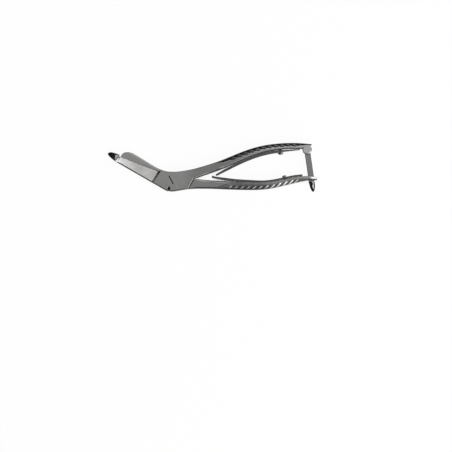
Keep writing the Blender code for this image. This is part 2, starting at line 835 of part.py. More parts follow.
def make_joint_screw(material):
    top = THICKNESS - SCREW_RECESS
    shoulder = top - SCREW_HEAD_DEPTH
    edge = 0.0002
    profile = (
        (SCREW_SHANK_RADIUS - edge, 0.0),
        (SCREW_SHANK_RADIUS, edge),
        (SCREW_SHANK_RADIUS, shoulder),
        (SCREW_HEAD_RADIUS, shoulder),
        (SCREW_HEAD_RADIUS, top - edge),
        (SCREW_HEAD_RADIUS - edge, top),
    )
    screw = turned("joint_screw", profile, (0, 0, 0), (0, 0, 1), material, steps=48)
    turn = math.radians(SCREW_SLOT_TURN)
    way = Vector((math.sin(turn), -math.cos(turn)))
    side = Vector((-way.y, way.x)) * SCREW_SLOT_WIDTH / 2
    reach = way * (SCREW_HEAD_RADIUS + 0.001)
    outline = [reach + side, side - reach, -reach - side, reach - side]
    cut(screw, prism("screw_slot", outline, top - SCREW_SLOT_DEPTH, top + 0.001))
    return screw


def spring_meet():
    """Where the two free tips meet, in the narrow end of the gap between the handles."""
    x = UPPER.place(SPRING_MEET)
    high = UPPER.centre.at(x) - UPPER.width.at(x) / 2
    low = LOWER.centre.at(x) + LOWER.width.at(x) / 2
    return Vector((x, low + (high - low) * SPRING_MEET_UP))


def spring_tip(handle):
    """Centre of a leaf's free tip. The lower one lies below the meeting point and reaches past it."""
    if handle is UPPER:
        return spring_meet()
    return spring_meet() - Vector((SPRING_TIP_GAP, LOWER_LEAF[0][1] + SEAT_GAP))


def tail_end(handle):
    """The upper tail stops short of the ear, and the lower one short of the fork."""
    if handle is UPPER:
        return ear_centre().x - EAR_RADIUS - TAIL_ROOM
    return ear_centre().x + fork_root() - SEAT_GAP


def leaf_row(handle, x):
    """Thickness of the leaf at x and its lift off the handle."""
    places = (spring_tip(handle).x, handle.screw, tail_end(handle))
    share = float(np.interp(x, places, (0.0, 1.0, 2.0)))
    shares = [row[0] for row in handle.leaf]
    thick = np.interp(share, shares, [row[1] for row in handle.leaf])
    lift = np.interp(share, shares, [row[2] for row in handle.leaf])
    return float(thick), float(lift)


def spring_path(handle):
    """Centre points and slopes of a leaf spring, from its free tip to the end of its tail."""

    def seated(x):
        thick, lift = leaf_row(handle, x)
        inner, out = spring_seat(handle, x)
        return inner + out * (SEAT_GAP + lift + thick / 2)

    tip = spring_tip(handle)
    before = handle.screw - SPRING_SCREW_RADIUS * 4
    after = handle.screw + SPRING_SCREW_RADIUS * 3
    run = [seated(x) for x in np.linspace(handle.place(SPRING_LIFT), before, 6)]
    run += [seated(x) for x in np.linspace(after, tail_end(handle), 5)]
    curve = Smooth([tip.x] + [p.x for p in run], [tip.y] + [p.y for p in run])
    places = list(np.linspace(tip.x, run[0].x, 9)) + list(np.linspace(run[0].x, run[-1].x, 17))[1:]
    return [(Vector((x, curve.at(x))), curve.slope(x)) for x in places]


def spring_rings(handle, narrow_tip):
    """Flat leaf with broken edges, thinner towards its free tip and its tail."""
    path = spring_path(handle)
    rings = []
    free = path[8][0].x - path[0][0].x
    for centre, slope in path:
        thick = leaf_row(handle, centre.x)[0] / 2
        share = min(1.0, (centre.x - path[0][0].x) / free)
        wide = SPRING_WIDTH / 2 * (narrow_tip + (1 - narrow_tip) * share)
        out = Vector((-slope, 1.0)).normalized()
        ring = []
        for a, z in (
            (thick - SPRING_EDGE, wide), (thick, wide - SPRING_EDGE),
            (thick, SPRING_EDGE - wide), (thick - SPRING_EDGE, -wide),
            (SPRING_EDGE - thick, -wide), (-thick, SPRING_EDGE - wide),
            (-thick, wide - SPRING_EDGE), (SPRING_EDGE - thick, wide),
        ):
            ring.append(space_point(centre + out * a, MIDDLE + z))
        rings.append(ring)
    return rings


def drill_spring(spring, handle):
    seat, out = spring_seat(handle, handle.screw)
    radius = SPRING_SCREW_RADIUS + PIN_GAP
    start = space_point(seat, MIDDLE)
    drill = ((radius, -0.001), (radius, 2 * SPRING_WIDTH))
    return cut(spring, turned("spring_drill", drill, start, (*out, 0.0), steps=16))


def make_upper_spring(material):
    spring = loft("upper_spring", spring_rings(UPPER, UPPER_TIP_NARROW), material)
    return drill_spring(spring, UPPER)


def make_lower_spring(material):
    """The lower leaf ends in a rolled lip that the upper leaf's tip bears against."""
    spring = loft("lower_spring", spring_rings(LOWER, 1.0), material)
    tip = spring_tip(LOWER)
    rise = LIP_RADIUS - LOWER_LEAF[0][1] / 2
    roll = Vector((tip.x, tip.y + rise, MIDDLE - SPRING_WIDTH / 2))
    edge = SPRING_EDGE
    profile = (
        (LIP_RADIUS - edge, 0.0),
        (LIP_RADIUS, edge),
        (LIP_RADIUS, SPRING_WIDTH - edge),
        (LIP_RADIUS - edge, SPRING_WIDTH),
    )
    join(spring, turned("lip", profile, roll, (0, 0, 1), steps=16))
    return drill_spring(spring, LOWER)


def make_spring_screw(name, handle, head, material):
    """A slotted round head on a short shank, screwed into the handle through the leaf."""
    seat, out = spring_seat(handle, handle.screw)
    start = space_point(seat, MIDDLE)
    under = 0.0
    for x in (handle.screw - head, handle.screw, handle.screw + head):
        under = max(under, sum(leaf_row(handle, x)))
    under += 2 * SEAT_GAP
    high = head * HEAD_HEIGHT
    profile = [(SPRING_SCREW_RADIUS, -SPRING_SCREW_DEPTH), (SPRING_SCREW_RADIUS, under)]
    profile.append((head, under))
    for turn in (0.0, 25.0, 50.0, 72.0):
        angle = math.radians(turn)
        profile.append((head * math.cos(angle), under + high * (0.3 + 0.7 * math.sin(angle))))
    screw = turned(name, profile, start, (*out, 0.0), material, steps=20)
    top = start + Vector((*out, 0.0)) * (under + high)
    bm = bmesh.new()
    bmesh.ops.create_cube(bm, size=1.0)
    bmesh.ops.scale(bm, vec=(4 * head, high * 0.8, SPRING_SCREW_SLOT), verts=bm.verts)
    turn = math.atan2(-out.x, out.y)
    bmesh.ops.rotate(bm, matrix=Matrix.Rotation(turn, 3, "Z"), verts=bm.verts)
    bmesh.ops.translate(bm, vec=top, verts=bm.verts)
    return cut(screw, mesh_object("spring_screw_slot", bm))


def make_catch_bar(material):
    """A flat bar with a round eye, ending in a bevelled point with a nose on its inner side."""
    half = BAR_WIDTH / 2
    nose = nose_start()
    tip = nose + TONGUE_LENGTH
    stations = []
    for turn in (80, 60, 40, 20, 0):
        angle = math.radians(turn)
        stations.append((-half * math.sin(angle), -half * math.cos(angle),
                         half * math.cos(angle), 0.0))
    for along in between(0.006, nose - 0.0006, 4):
        stations.append((along, -half, half, 0.0))
    stations.append((nose, -half, half, 0.0))
    stations.append((nose, -half - NOSE_REACH, half, 0.0))
    stations.append((nose + NOSE_SLOPE, -half, half, 0.80))
    for share in (0.35, 0.55, 0.75, 0.9, 1.0):
        wide = half * math.sqrt(max(0.0, 1 - share**1.8))
        along = nose + NOSE_SLOPE + (tip - nose - NOSE_SLOPE) * share
        stations.append((along, -wide * 1.02 + 0.0002, wide + 0.0002, 1.0 - 0.15 * share))
    rings = []
    for along, inward, outward, bevel in stations:
        thick = BAR_THICKNESS / 2
        wide = outward - inward
        slant = min(BAR_CHAMFER + bevel * (wide * TONGUE_BEVEL_IN - BAR_CHAMFER), 0.6 * wide)
        facet = min(BAR_CHAMFER + bevel * (wide * TONGUE_BEVEL_OUT - BAR_CHAMFER), 0.3 * wide)
        land = thick - BAR_CHAMFER - bevel * (thick - BAR_CHAMFER - 0.0003)
        crest = thick - bevel * TONGUE_LAND_DROP
        ring = []
        for across, z in (
            (inward + slant, thick), (outward - facet, crest),
            (outward, land), (outward, -land),
            (outward - facet, -crest), (inward + slant, -thick),
            (inward, -land), (inward, land),
        ):
            ring.append(space_point(bar_point(along, across), MIDDLE + z))
        rings.append(ring)
    bar = loft("catch_bar", rings, material)
    hole = RIVET_RADIUS + PIN_GAP
    drill = ((hole, 0.0), (hole, THICKNESS))
    return cut(bar, turned("eye_drill", drill, space_point(ear_centre(), 0.0), (0, 0, 1), steps=24))


def make_catch_rivet(material):
    edge = 0.0002
    profile = (
        (RIVET_RADIUS - edge, SCREW_RECESS),
        (RIVET_RADIUS, SCREW_RECESS + edge),
        (RIVET_RADIUS, THICKNESS - SCREW_RECESS - edge),
        (RIVET_RADIUS - edge, THICKNESS - SCREW_RECESS),
    )
    start = space_point(ear_centre(), 0.0)
    return turned("catch_rivet", profile, start, (0, 0, 1), material, steps=24)


def axis_empty(name, place):
    made = bpy.data.objects.new(name, None)
    made.location = place
    made.empty_display_size = 0.01
    bpy.context.scene.collection.objects.link(made)
    return made


def hang_on(axis, pieces):
    """Parents pieces to an axis empty, with each piece's own origin on that axis."""
    for piece in pieces:
        piece.data.transform(Matrix.Translation(-axis.location))
        piece.parent = axis


def finish(piece):
    piece.data.shade_smooth()
    piece.data.set_sharp_from_angle(angle=math.radians(32.0))


def main():
    clear_scene()
    satin = steel("satin_steel", (0.32, 0.32, 0.31), 0.34)
    spring_steel = steel("spring_steel", (0.24, 0.24, 0.24), 0.30)
    bright = steel("bright_steel", (0.42, 0.42, 0.41), 0.24)
    upper = make_upper_half(satin)
    lower = make_lower_half(satin)
    joint_screw = make_joint_screw(satin)
    upper_spring = make_upper_spring(spring_steel)
    lower_spring = make_lower_spring(spring_steel)
    upper_screw = make_spring_screw("upper_spring_screw", UPPER, UPPER_HEAD_RADIUS, bright)
    lower_screw = make_spring_screw("lower_spring_screw", LOWER, LOWER_HEAD_RADIUS, bright)
    bar = make_catch_bar(satin)
    rivet = make_catch_rivet(bright)
    blade_axis = axis_empty("blade_axis", (0.0, 0.0, 0.0))
    catch_axis = axis_empty("catch_axis", space_point(ear_centre(), 0.0))
    hang_on(blade_axis, (lower, joint_screw, lower_spring, lower_screw))
    hang_on(catch_axis, (bar,))
    for piece in (
        upper, lower, joint_screw, upper_spring, lower_spring,
        upper_screw, lower_screw, bar, rivet,
    ):
        finish(piece)


UPPER = Handle(UPPER_FORM, 1, UPPER_INNER_ROUND, HANDLE_LENGTH - UPPER_SCREW_BACK, UPPER_LEAF)
LOWER = Handle(LOWER_FORM, -1, LOWER_INNER_ROUND, HANDLE_LENGTH - LOWER_SCREW_BACK, LOWER_LEAF)

main()
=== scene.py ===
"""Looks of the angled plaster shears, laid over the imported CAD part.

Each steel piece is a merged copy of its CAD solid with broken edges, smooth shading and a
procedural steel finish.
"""

import logging
import math
from dataclasses import dataclass, field
from enum import Enum

import bmesh
import bpy
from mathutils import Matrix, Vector
from mathutils.bvhtree import BVHTree


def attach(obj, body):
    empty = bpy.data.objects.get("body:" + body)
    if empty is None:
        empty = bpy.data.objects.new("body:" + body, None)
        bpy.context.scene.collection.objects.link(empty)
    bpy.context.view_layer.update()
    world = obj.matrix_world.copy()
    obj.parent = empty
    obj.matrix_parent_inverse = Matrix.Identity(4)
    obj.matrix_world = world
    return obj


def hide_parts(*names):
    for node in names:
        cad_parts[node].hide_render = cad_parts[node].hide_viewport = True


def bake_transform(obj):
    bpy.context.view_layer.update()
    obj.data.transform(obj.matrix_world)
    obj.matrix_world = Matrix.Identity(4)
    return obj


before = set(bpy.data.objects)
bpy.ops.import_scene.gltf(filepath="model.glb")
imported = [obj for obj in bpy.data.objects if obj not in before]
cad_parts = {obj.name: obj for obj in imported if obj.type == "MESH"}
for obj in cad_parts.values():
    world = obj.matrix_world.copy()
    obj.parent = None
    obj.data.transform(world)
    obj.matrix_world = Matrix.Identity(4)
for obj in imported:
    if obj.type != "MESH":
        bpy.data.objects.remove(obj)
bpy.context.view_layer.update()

log = logging.getLogger("plaster_shears")

Colour = tuple[float, float, float]
Point = tuple[float, float, float]
Plan = tuple[float, float]
Socket = bpy.types.NodeSocket
Value = Socket | float | Point

# The ear's middle, and the way from there to the catch bar's tongue, both in plan
EAR_MIDDLE: Plan = (0.1544, 0.0344)
BAR_WAY: Plan = (0.1426, -0.9898)

# How nearly a face must look straight up or down to count as level
LEVEL = 0.9995

# An X well past the part, for rims without a limit
FAR = 1.0


def grey(level: float, warmth: float = 0.0) -> Colour:
    """A grey by its red value, with green and then blue each lower by its warmth."""
    return (level, level - warmth, level - 2.0 * warmth)


class Grain(Enum):
    """Which way the polishing lines of a finish run, as a turn about Z in degrees."""

    ALONG_HANDLE = 0.0
    ALONG_BLADE = -30.0
    ACROSS = 90.0


@dataclass(frozen=True)
class SteelFinish:
    """One steel finish.

    Args:
        name: Name of the material.
        flat: Colour of the ground faces.
        side: Colour of the painted shade on steep faces, in hollows and on dull rims.
        roughness: Roughness of the ground faces.
        side_roughness: Roughness of the sides.
        grain: Direction of the polishing lines.
        grain_depth: Height of the polishing lines in metres.
        stain: How strongly the cloudy stains darken the steel, 0 to 1.
        scratch: How strongly single scratches show, 0 to 1.
        tones: Places in metres, each with a factor on the ground colour there; where it rises
            steeply at a piece's end it is a painted highlight.
        tones_way: Direction along which those places are measured.
        ground: Direction that the ground faces look in.
        shade_start: How nearly a face must look that way to be free of the painted side shade, 0
            to 1.
        shade_full: How nearly it looks that way where the painted side shade is full.
        highlight_way: Compass direction, in plan, of the faces that get a painted highlight.
        highlight_low: How nearly a face must look like the ground ones to get that painted
            highlight at all.
        highlight_share: How bright the painted highlight is, 0 to 1.
        flute_highlight: Compass direction of the flute walls that get a painted highlight.
    """

    name: str
    flat: Colour
    side: Colour
    roughness: float = 0.26
    side_roughness: float = 0.40
    grain: Grain = Grain.ALONG_HANDLE
    grain_depth: float = 0.000002
    stain: float = 0.06
    scratch: float = 0.25
    tones: tuple[tuple[float, float], ...] = ()
    tones_way: Point = (1.0, 0.0, 0.0)
    ground: Point = (0.0, 0.0, 1.0)
    shade_start: float = 0.97
    shade_full: float = 0.80
    highlight_way: Plan = (0.0, 0.0)
    highlight_low: float = 0.5
    highlight_share: float = 0.35
    flute_highlight: Plan = (0.0, 0.0)


UPPER_HANDLE = SteelFinish(
    "upper_handle_steel", grey(0.230, 0.003), grey(0.030), stain=0.10, scratch=0.35,
    tones=(
        (0.010, 0.98), (0.030, 0.74), (0.060, 0.64), (0.088, 0.76), (0.100, 1.05),
        (0.120, 1.25), (0.140, 1.30),
    ),
    # painted shade over the whole inner rounding, and a painted highlight along the inner edge
    # facing the lower right
    shade_start=0.99, shade_full=0.90, highlight_way=(0.66, -0.75), highlight_low=0.985, highlight_share=0.9,
)
LOWER_HANDLE = SteelFinish(
    "lower_handle_steel", grey(0.230, 0.003), grey(0.035), stain=0.10, scratch=0.35,
    tones=(
        (0.024, 0.84), (0.060, 0.74), (0.080, 0.46), (0.100, 0.48), (0.122, 0.78),
        # the rise at the fork's tip is a painted highlight
        (0.157, 0.85), (0.161, 3.0),
    ),
    # flute walls facing right get a painted highlight
    highlight_share=0.50, flute_highlight=(0.97, -0.25),
)
LOWER_BLADE = SteelFinish(
    "lower_blade_steel", grey(0.262, 0.003), grey(0.030), roughness=0.30,
    grain=Grain.ALONG_BLADE, scratch=0.40,
    # the rise towards the blade's end by the probe is a painted highlight
    tones=((-0.0595, 2.0), (-0.0555, 1.45), (-0.036, 1.0)),
    # painted shade starts close to the blade's own ground face
    ground=(0.112, 0.193, 0.975), shade_start=0.985, shade_full=0.93,
)
UPPER_BLADE = SteelFinish(
    "upper_blade_steel", grey(0.240, 0.003), grey(0.040), roughness=0.27,
    grain=Grain.ALONG_BLADE, scratch=0.30,
    tones=((0.0, 0.98), (0.0095, 1.75)), tones_way=(0.5, 0.866, 0.0),
)
# The probe's tilted faces are all painted shade, and its facet facing right gets a painted
# highlight
PROBE = SteelFinish(
    "probe_steel", grey(0.30), grey(0.030), side_roughness=0.34, grain=Grain.ALONG_BLADE,
    scratch=0.20, shade_start=1.0, shade_full=0.992, highlight_way=(0.96, -0.28), highlight_low=0.75,
)
# The ear's edge facing the lower right gets a painted highlight
EAR = SteelFinish(
    "ear_steel", grey(0.285, 0.003), grey(0.045), side_roughness=0.38,
    grain_depth=0.000001, stain=0.04, scratch=0.20, highlight_way=(0.71, -0.71), highlight_low=0.40,
)
SPRING = SteelFinish(
    "spring_leaf_steel", grey(0.072), grey(0.030), roughness=0.30, stain=0.10, scratch=0.20,
)
SCREW = SteelFinish("screw_steel", grey(0.230, 0.003), grey(0.035), side_roughness=0.38)
# The head's steep faces get painted shade, and those facing the upper right a painted highlight
SPRING_SCREW = SteelFinish(
    "spring_screw_steel", grey(0.150, 0.002), grey(0.030), roughness=0.24,
    side_roughness=0.34, grain=Grain.ACROSS, shade_start=0.90, shade_full=0.60, highlight_way=(0.8, 0.6),
)
BAR = SteelFinish(
    "bar_steel", grey(0.145, 0.001), grey(0.015), roughness=0.28, grain=Grain.ACROSS,
    stain=0.08, shade_full=0.91,
)


class NodeKit:
    """Small helper round one node tree."""

    def __init__(self, tree: bpy.types.NodeTree) -> None:
        """Keeps the tree that the nodes go into."""
        self.tree = tree

    def node(self, kind: str, **settings: object) -> bpy.types.Node:
        """Adds a node and sets its plain properties.

        Args:
            kind: Type name of the node.
            settings: Properties to set on it.

        Returns:
            The new node.
        """
        made = self.tree.nodes.new(kind)
        for key, value in settings.items():
            setattr(made, key, value)
        return made

    def feed(self, value: Value, target: Socket) -> None:
        """Gives an input the value of a socket, or a fixed one."""
        if isinstance(value, Socket):
            self.tree.links.new(value, target)
        else:
            target.default_value = value

    def math(self, operation: str, first: Value, second: Value = 0.0) -> Socket:
        """One Math node.

        Args:
            operation: Blender's name of the operation.
            first: Socket or number.
            second: Socket or number.

        Returns:
            The result's socket.
        """
        made = self.node("ShaderNodeMath", operation=operation)
        self.feed(first, made.inputs[0])
        self.feed(second, made.inputs[1])
        return made.outputs[0]

    def vector(self, operation: str, first: Value, second: Value = (0.0, 0.0, 0.0)) -> Socket:
        """One Vector Math node.

        Args:
            operation: Blender's name of the operation.
            first: Socket or vector.
            second: Socket or vector.

        Returns:
            The result's socket, a number for a dot product.
        """
        made = self.node("ShaderNodeVectorMath", operation=operation)
        self.feed(first, made.inputs[0])
        self.feed(second, made.inputs[1])
        return made.outputs["Value" if operation == "DOT_PRODUCT" else "Vector"]

    def ramp(self, value: Value, low: Value, high: Value) -> Socket:
        """A smooth step from 0 at low to 1 at high, which may be the lower number."""
        made = self.node("ShaderNodeMapRange", interpolation_type="SMOOTHSTEP")
        for name, given in (("Value", value), ("From Min", low), ("From Max", high)):
            self.feed(given, made.inputs[name])
        return made.outputs["Result"]

    def mix(self, share: Value, first: Value, second: Value) -> Socket:
        """Mixes two colours by the share of the second."""
        made = self.node("ShaderNodeMix", data_type="RGBA")
        named = {socket.name: socket for socket in made.inputs if socket.enabled}
        self.feed(share, named["Factor"])
        for name, value in (("A", first), ("B", second)):
            self.feed(value if isinstance(value, Socket) else (*value, 1.0), named[name])
        return next(socket for socket in made.outputs if socket.enabled)

    def steps(self, value: Value, rows: tuple[tuple[float, float], ...]) -> Socket:
        """A value that runs from step to step, and stays the same past both ends.

        Args:
            value: Socket that places are read from.
            rows: Place and value of each step, in rising order.

        Returns:
            The result's socket.
        """
        total: Value = rows[0][1]
        for (start, before), (end, after) in zip(rows, rows[1:]):
            share = self.ramp(value, start, end)
            total = self.math("ADD", self.math("MULTIPLY", share, after - before), total)
        return total


class SteelGroups:
    """The node groups that every steel finish shares."""

    # Polishing lines: their stretch, and the broad ones' scale and share
    LINE_STRETCH = (0.035, 1.0, 1.0)
    BROAD_SCALE = 0.18
    BROAD_SHARE = 0.35
    # Painted highlights: how nearly a face looks along their way, the soft band at the lower
    # limit, how far off level they start, how far flute walls lean, and how much of the painted
    # side shade they clear
    HIGHLIGHT_FACING = (0.86, 0.93)
    HIGHLIGHT_BAND = 0.06
    HIGHLIGHT_TILT = 0.99
    FLUTE_HIGHLIGHT_LEAN = (0.20, 0.42)
    HIGHLIGHT_CLEARS = 0.92
    # Stains: the clouds' scale and limits. Scratches: turn in degrees and scale of each set
    CLOUD_SCALE = 90.0
    CLOUD_LIMITS = (0.42, 0.70)
    SCRATCH_STRETCH = (0.06, 1.0, 0.4)
    SCRATCH_LIMITS = (0.016, 0.004)
    SCRATCH_SETS = ((17.0, 210.0), (-42.0, 170.0), (74.0, 240.0))

    def __init__(self) -> None:
        """Builds the three groups once."""
        self.polish = self._polish()
        self.sides = self._side_shade()
        self.marks = self._marks()

    @staticmethod
    def _group(
        name: str, inputs: tuple[tuple[str, str], ...], outputs: tuple[str, ...],
    ) -> tuple[bpy.types.NodeTree, bpy.types.Node, bpy.types.Node]:
        """An empty group with named sockets.

        Args:
            name: Name of the group.
            inputs: Name and kind, Vector or Float, of each input.
            outputs: Name of each output, all of them numbers.

        Returns:
            The tree, its input node and its output node.
        """
        tree = bpy.data.node_groups.new(name, "ShaderNodeTree")
        rows = [("INPUT", label, kind) for label, kind in inputs]
        rows += [("OUTPUT", label, "Float") for label in outputs]
        for way, label, kind in rows:
            tree.interface.new_socket(name=label, in_out=way, socket_type=f"NodeSocket{kind}")
        return tree, tree.nodes.new("NodeGroupInput"), tree.nodes.new("NodeGroupOutput")

    def _polish(self) -> bpy.types.NodeTree:
        """Fine polishing lines along one direction."""
        tree, given, out = self._group(
            "polishing_lines", (("Place", "Vector"), ("Fineness", "Float")), ("Height", "Tone"),
        )
        kit = NodeKit(tree)
        place = kit.vector("MULTIPLY", given.outputs["Place"], self.LINE_STRETCH)
        fine = given.outputs["Fineness"]
        total: Value = 0.0
        for scale, detail, roughness, share in (
            (fine, 3.0, 0.6, 1.0 - self.BROAD_SHARE),
            (kit.math("MULTIPLY", fine, self.BROAD_SCALE), 2.0, 0.5, self.BROAD_SHARE),
        ):
            lines = kit.node("ShaderNodeTexNoise")
            kit.feed(place, lines.inputs["Vector"])
            kit.feed(scale, lines.inputs["Scale"])
            lines.inputs["Detail"].default_value = detail
            lines.inputs["Roughness"].default_value = roughness
            total = kit.math("ADD", kit.math("MULTIPLY", lines.outputs[0], share), total)
        kit.feed(total, out.inputs["Height"])
        kit.feed(kit.ramp(total, 0.35, 0.65), out.inputs["Tone"])
        return tree

    def _side_shade(self) -> bpy.types.NodeTree:
        """Painted shade on faces turned away from the ground faces, cleared in part by painted
        highlights.
        """
        tree, given, out = self._group(
            "painted_side_shade",
            (
                ("Normal", "Vector"), ("Start", "Float"), ("Full", "Float"),
                ("Ground", "Vector"), ("Rub", "Vector"), ("Rub Low", "Float"),
                ("Glint", "Vector"),
            ),
            ("Side", "Highlight"),
        )
        kit = NodeKit(tree)
        normal, highlight_way, low, flute_highlight, start, full = (
            given.outputs[name] for name in ("Normal", "Rub", "Rub Low", "Glint", "Start", "Full")
        )
        upright = kit.math("ABSOLUTE", kit.vector("DOT_PRODUCT", normal, given.outputs["Ground"]))
        level = kit.vector("MULTIPLY", normal, (1.0, 1.0, 0.0))
        facing = kit.vector("DOT_PRODUCT", kit.vector("NORMALIZE", level), highlight_way)
        above = kit.math("SUBTRACT", upright, low)
        tilted = kit.math(
            "MULTIPLY", kit.ramp(above, -self.HIGHLIGHT_BAND, self.HIGHLIGHT_BAND),
            kit.ramp(upright, LEVEL, self.HIGHLIGHT_TILT),
        )
        highlight_amount = kit.math("MULTIPLY", kit.ramp(facing, *self.HIGHLIGHT_FACING), tilted)
        leaning = kit.vector("DOT_PRODUCT", normal, flute_highlight)
        highlight_amount = kit.math("MAXIMUM", highlight_amount, kit.ramp(leaning, *self.FLUTE_HIGHLIGHT_LEAN))
        kit.feed(highlight_amount, out.inputs["Highlight"])
        kept = kit.math("SUBTRACT", 1.0, kit.math("MULTIPLY", highlight_amount, self.HIGHLIGHT_CLEARS))
        kit.feed(kit.math("MULTIPLY", kit.ramp(upright, start, full), kept), out.inputs["Side"])
        return tree

    def _marks(self) -> bpy.types.NodeTree:
        """Cloudy stains from washing, and single scratches from use."""
        tree, given, out = self._group(
            "handling_marks", (("Place", "Vector"),), ("Stain", "Scratch"),
        )
        kit = NodeKit(tree)
        cloud = kit.node("ShaderNodeTexNoise")
        kit.feed(given.outputs["Place"], cloud.inputs["Vector"])
        cloud.inputs["Scale"].default_value = self.CLOUD_SCALE
        cloud.inputs["Detail"].default_value = 5.0
        cloud.inputs["Distortion"].default_value = 0.6
        kit.feed(kit.ramp(cloud.outputs[0], *self.CLOUD_LIMITS), out.inputs["Stain"])
        total: Value = 0.0
        for turn, scale in self.SCRATCH_SETS:
            aim = kit.node("ShaderNodeMapping")
            kit.feed(given.outputs["Place"], aim.inputs["Vector"])
            aim.inputs["Rotation"].default_value = (0.0, 0.0, math.radians(turn))
            aim.inputs["Scale"].default_value = self.SCRATCH_STRETCH
            cells = kit.node("ShaderNodeTexVoronoi", feature="DISTANCE_TO_EDGE")
            kit.feed(aim.outputs[0], cells.inputs["Vector"])
            cells.inputs["Scale"].default_value = scale
            line = kit.ramp(cells.outputs["Distance"], *self.SCRATCH_LIMITS)
            total = kit.math("MAXIMUM", total, line)
        kit.feed(total, out.inputs["Scratch"])
        return tree


class SteelShop:
    """Makes the material of each finish from the shared groups."""

    # Fineness of the polishing lines per metre, and how far they vary the roughness
    FINENESS = 2600.0
    POLISH_ROUGHNESS = 0.08
    # Colours of the painted highlight and of the painted shade in hollows
    PAINTED_HIGHLIGHT_COLOUR = (0.55, 0.545, 0.54)
    HOLLOW_SHADE_COLOUR = grey(0.006)
    HOLLOW_SHADE_LIMITS = (0.16, 0.60)
    HOLLOW_SHADE_SHARE = 0.85
    # How stains and scratches change the flat colour, the roughness and the surface
    STAIN_TONE = 0.45
    STAIN_ROUGHNESS = 0.5
    SCRATCH_TONE = 1.8
    SCRATCH_SHARE = 0.35
    SCRATCH_DEPTH = 1.2

    def __init__(self) -> None:
        """Builds the groups and an empty shelf of materials."""
        self.groups = SteelGroups()
        self.shelf: dict[str, bpy.types.Material] = {}

    def material(self, finish: SteelFinish) -> bpy.types.Material:
        """The material of a finish, built once.

        Args:
            finish: The finish to make.

        Returns:
            Its material.
        """
        if finish.name not in self.shelf:
            made = bpy.data.materials.new(finish.name)
            made.use_nodes = True
            self.lay_nodes(NodeKit(made.node_tree), finish)
            self.shelf[finish.name] = made
        return self.shelf[finish.name]

    def group(self, kit: NodeKit, tree: bpy.types.NodeTree, **given: Value) -> bpy.types.Node:
        """One shared group with its inputs.

        Args:
            kit: Helper of the material's tree.
            tree: The group.
            given: Value of each input, with _ for the space in its name.

        Returns:
            The group's node.
        """
        made = kit.node("ShaderNodeGroup", node_tree=tree)
        for name, value in given.items():
            kit.feed(value, made.inputs[name.replace("_", " ")])
        return made

    def lay_nodes(self, kit: NodeKit, finish: SteelFinish) -> None:
        """Lays the nodes of one finish and joins them to its shader.

        Args:
            kit: Helper of the material's tree.
            finish: The finish.
        """
        shader = kit.tree.nodes["Principled BSDF"]
        shader.inputs["Metallic"].default_value = 1.0
        place = kit.node("ShaderNodeTexCoord")
        aim = kit.node("ShaderNodeMapping")
        kit.feed(place.outputs["Object"], aim.inputs["Vector"])
        aim.inputs["Rotation"].default_value = (0.0, 0.0, math.radians(finish.grain.value))
        polish = self.group(
            kit, self.groups.polish, Place=aim.outputs[0], Fineness=self.FINENESS,
        )
        sides = self.group(
            kit, self.groups.sides, Normal=place.outputs["Normal"], Start=finish.shade_start,
            Full=finish.shade_full, Ground=finish.ground, Rub=(*finish.highlight_way, 0.0),
            Rub_Low=finish.highlight_low, Glint=(*finish.flute_highlight, 0.0),
        )
        marks = self.group(kit, self.groups.marks, Place=place.outputs["Object"])
        stain = kit.math("MULTIPLY", marks.outputs["Stain"], finish.stain)
        scratch = kit.math("MULTIPLY", marks.outputs["Scratch"], finish.scratch)
        hollow_shade, rim = (
            kit.node("ShaderNodeAttribute", attribute_name=name).outputs["Fac"]
            for name in ("hollow_shade", "rim")
        )
        # painted shade in corners, slots and on covered faces, found by casting rays
        hollow_shade_amount = kit.math(
            "MULTIPLY", kit.ramp(hollow_shade, *self.HOLLOW_SHADE_LIMITS), self.HOLLOW_SHADE_SHARE,
        )
        # painted shade: steep faces, hollows and dull rims all darken towards the shade colour
        side = kit.math("MAXIMUM", kit.math("MAXIMUM", sides.outputs["Side"], hollow_shade_amount), rim)
        # painted highlight: faces turned towards the bright side, flute walls and bright rims
        painted_highlight = kit.math(
            "MAXIMUM", kit.math("MULTIPLY", sides.outputs["Highlight"], finish.highlight_share),
            kit.math("MULTIPLY", rim, -1.0),
        )
        flat = self.flat_colour(kit, finish, place.outputs["Object"], stain, scratch)
        before_hollow_shade = kit.mix(side, kit.mix(painted_highlight, flat, self.PAINTED_HIGHLIGHT_COLOUR), finish.side)
        kit.feed(kit.mix(hollow_shade_amount, before_hollow_shade, self.HOLLOW_SHADE_COLOUR), shader.inputs["Base Color"])
        tone = kit.math("SUBTRACT", polish.outputs["Tone"], 0.5)
        flat_rough = kit.math(
            "ADD",
            kit.math("ADD", kit.math("MULTIPLY", tone, self.POLISH_ROUGHNESS), finish.roughness),
            kit.math("MULTIPLY", stain, self.STAIN_ROUGHNESS),
        )
        rough = kit.node("ShaderNodeMix", data_type="FLOAT")
        for slot, value in ((0, side), (2, flat_rough), (3, finish.side_roughness)):
            kit.feed(value, rough.inputs[slot])
        kit.feed(rough.outputs[0], shader.inputs["Roughness"])
        cut = kit.math("MULTIPLY", scratch, self.SCRATCH_DEPTH)
        bump = kit.node("ShaderNodeBump")
        bump.inputs["Distance"].default_value = finish.grain_depth
        kit.feed(kit.math("SUBTRACT", polish.outputs["Height"], cut), bump.inputs["Height"])
        kit.feed(bump.outputs[0], shader.inputs["Normal"])

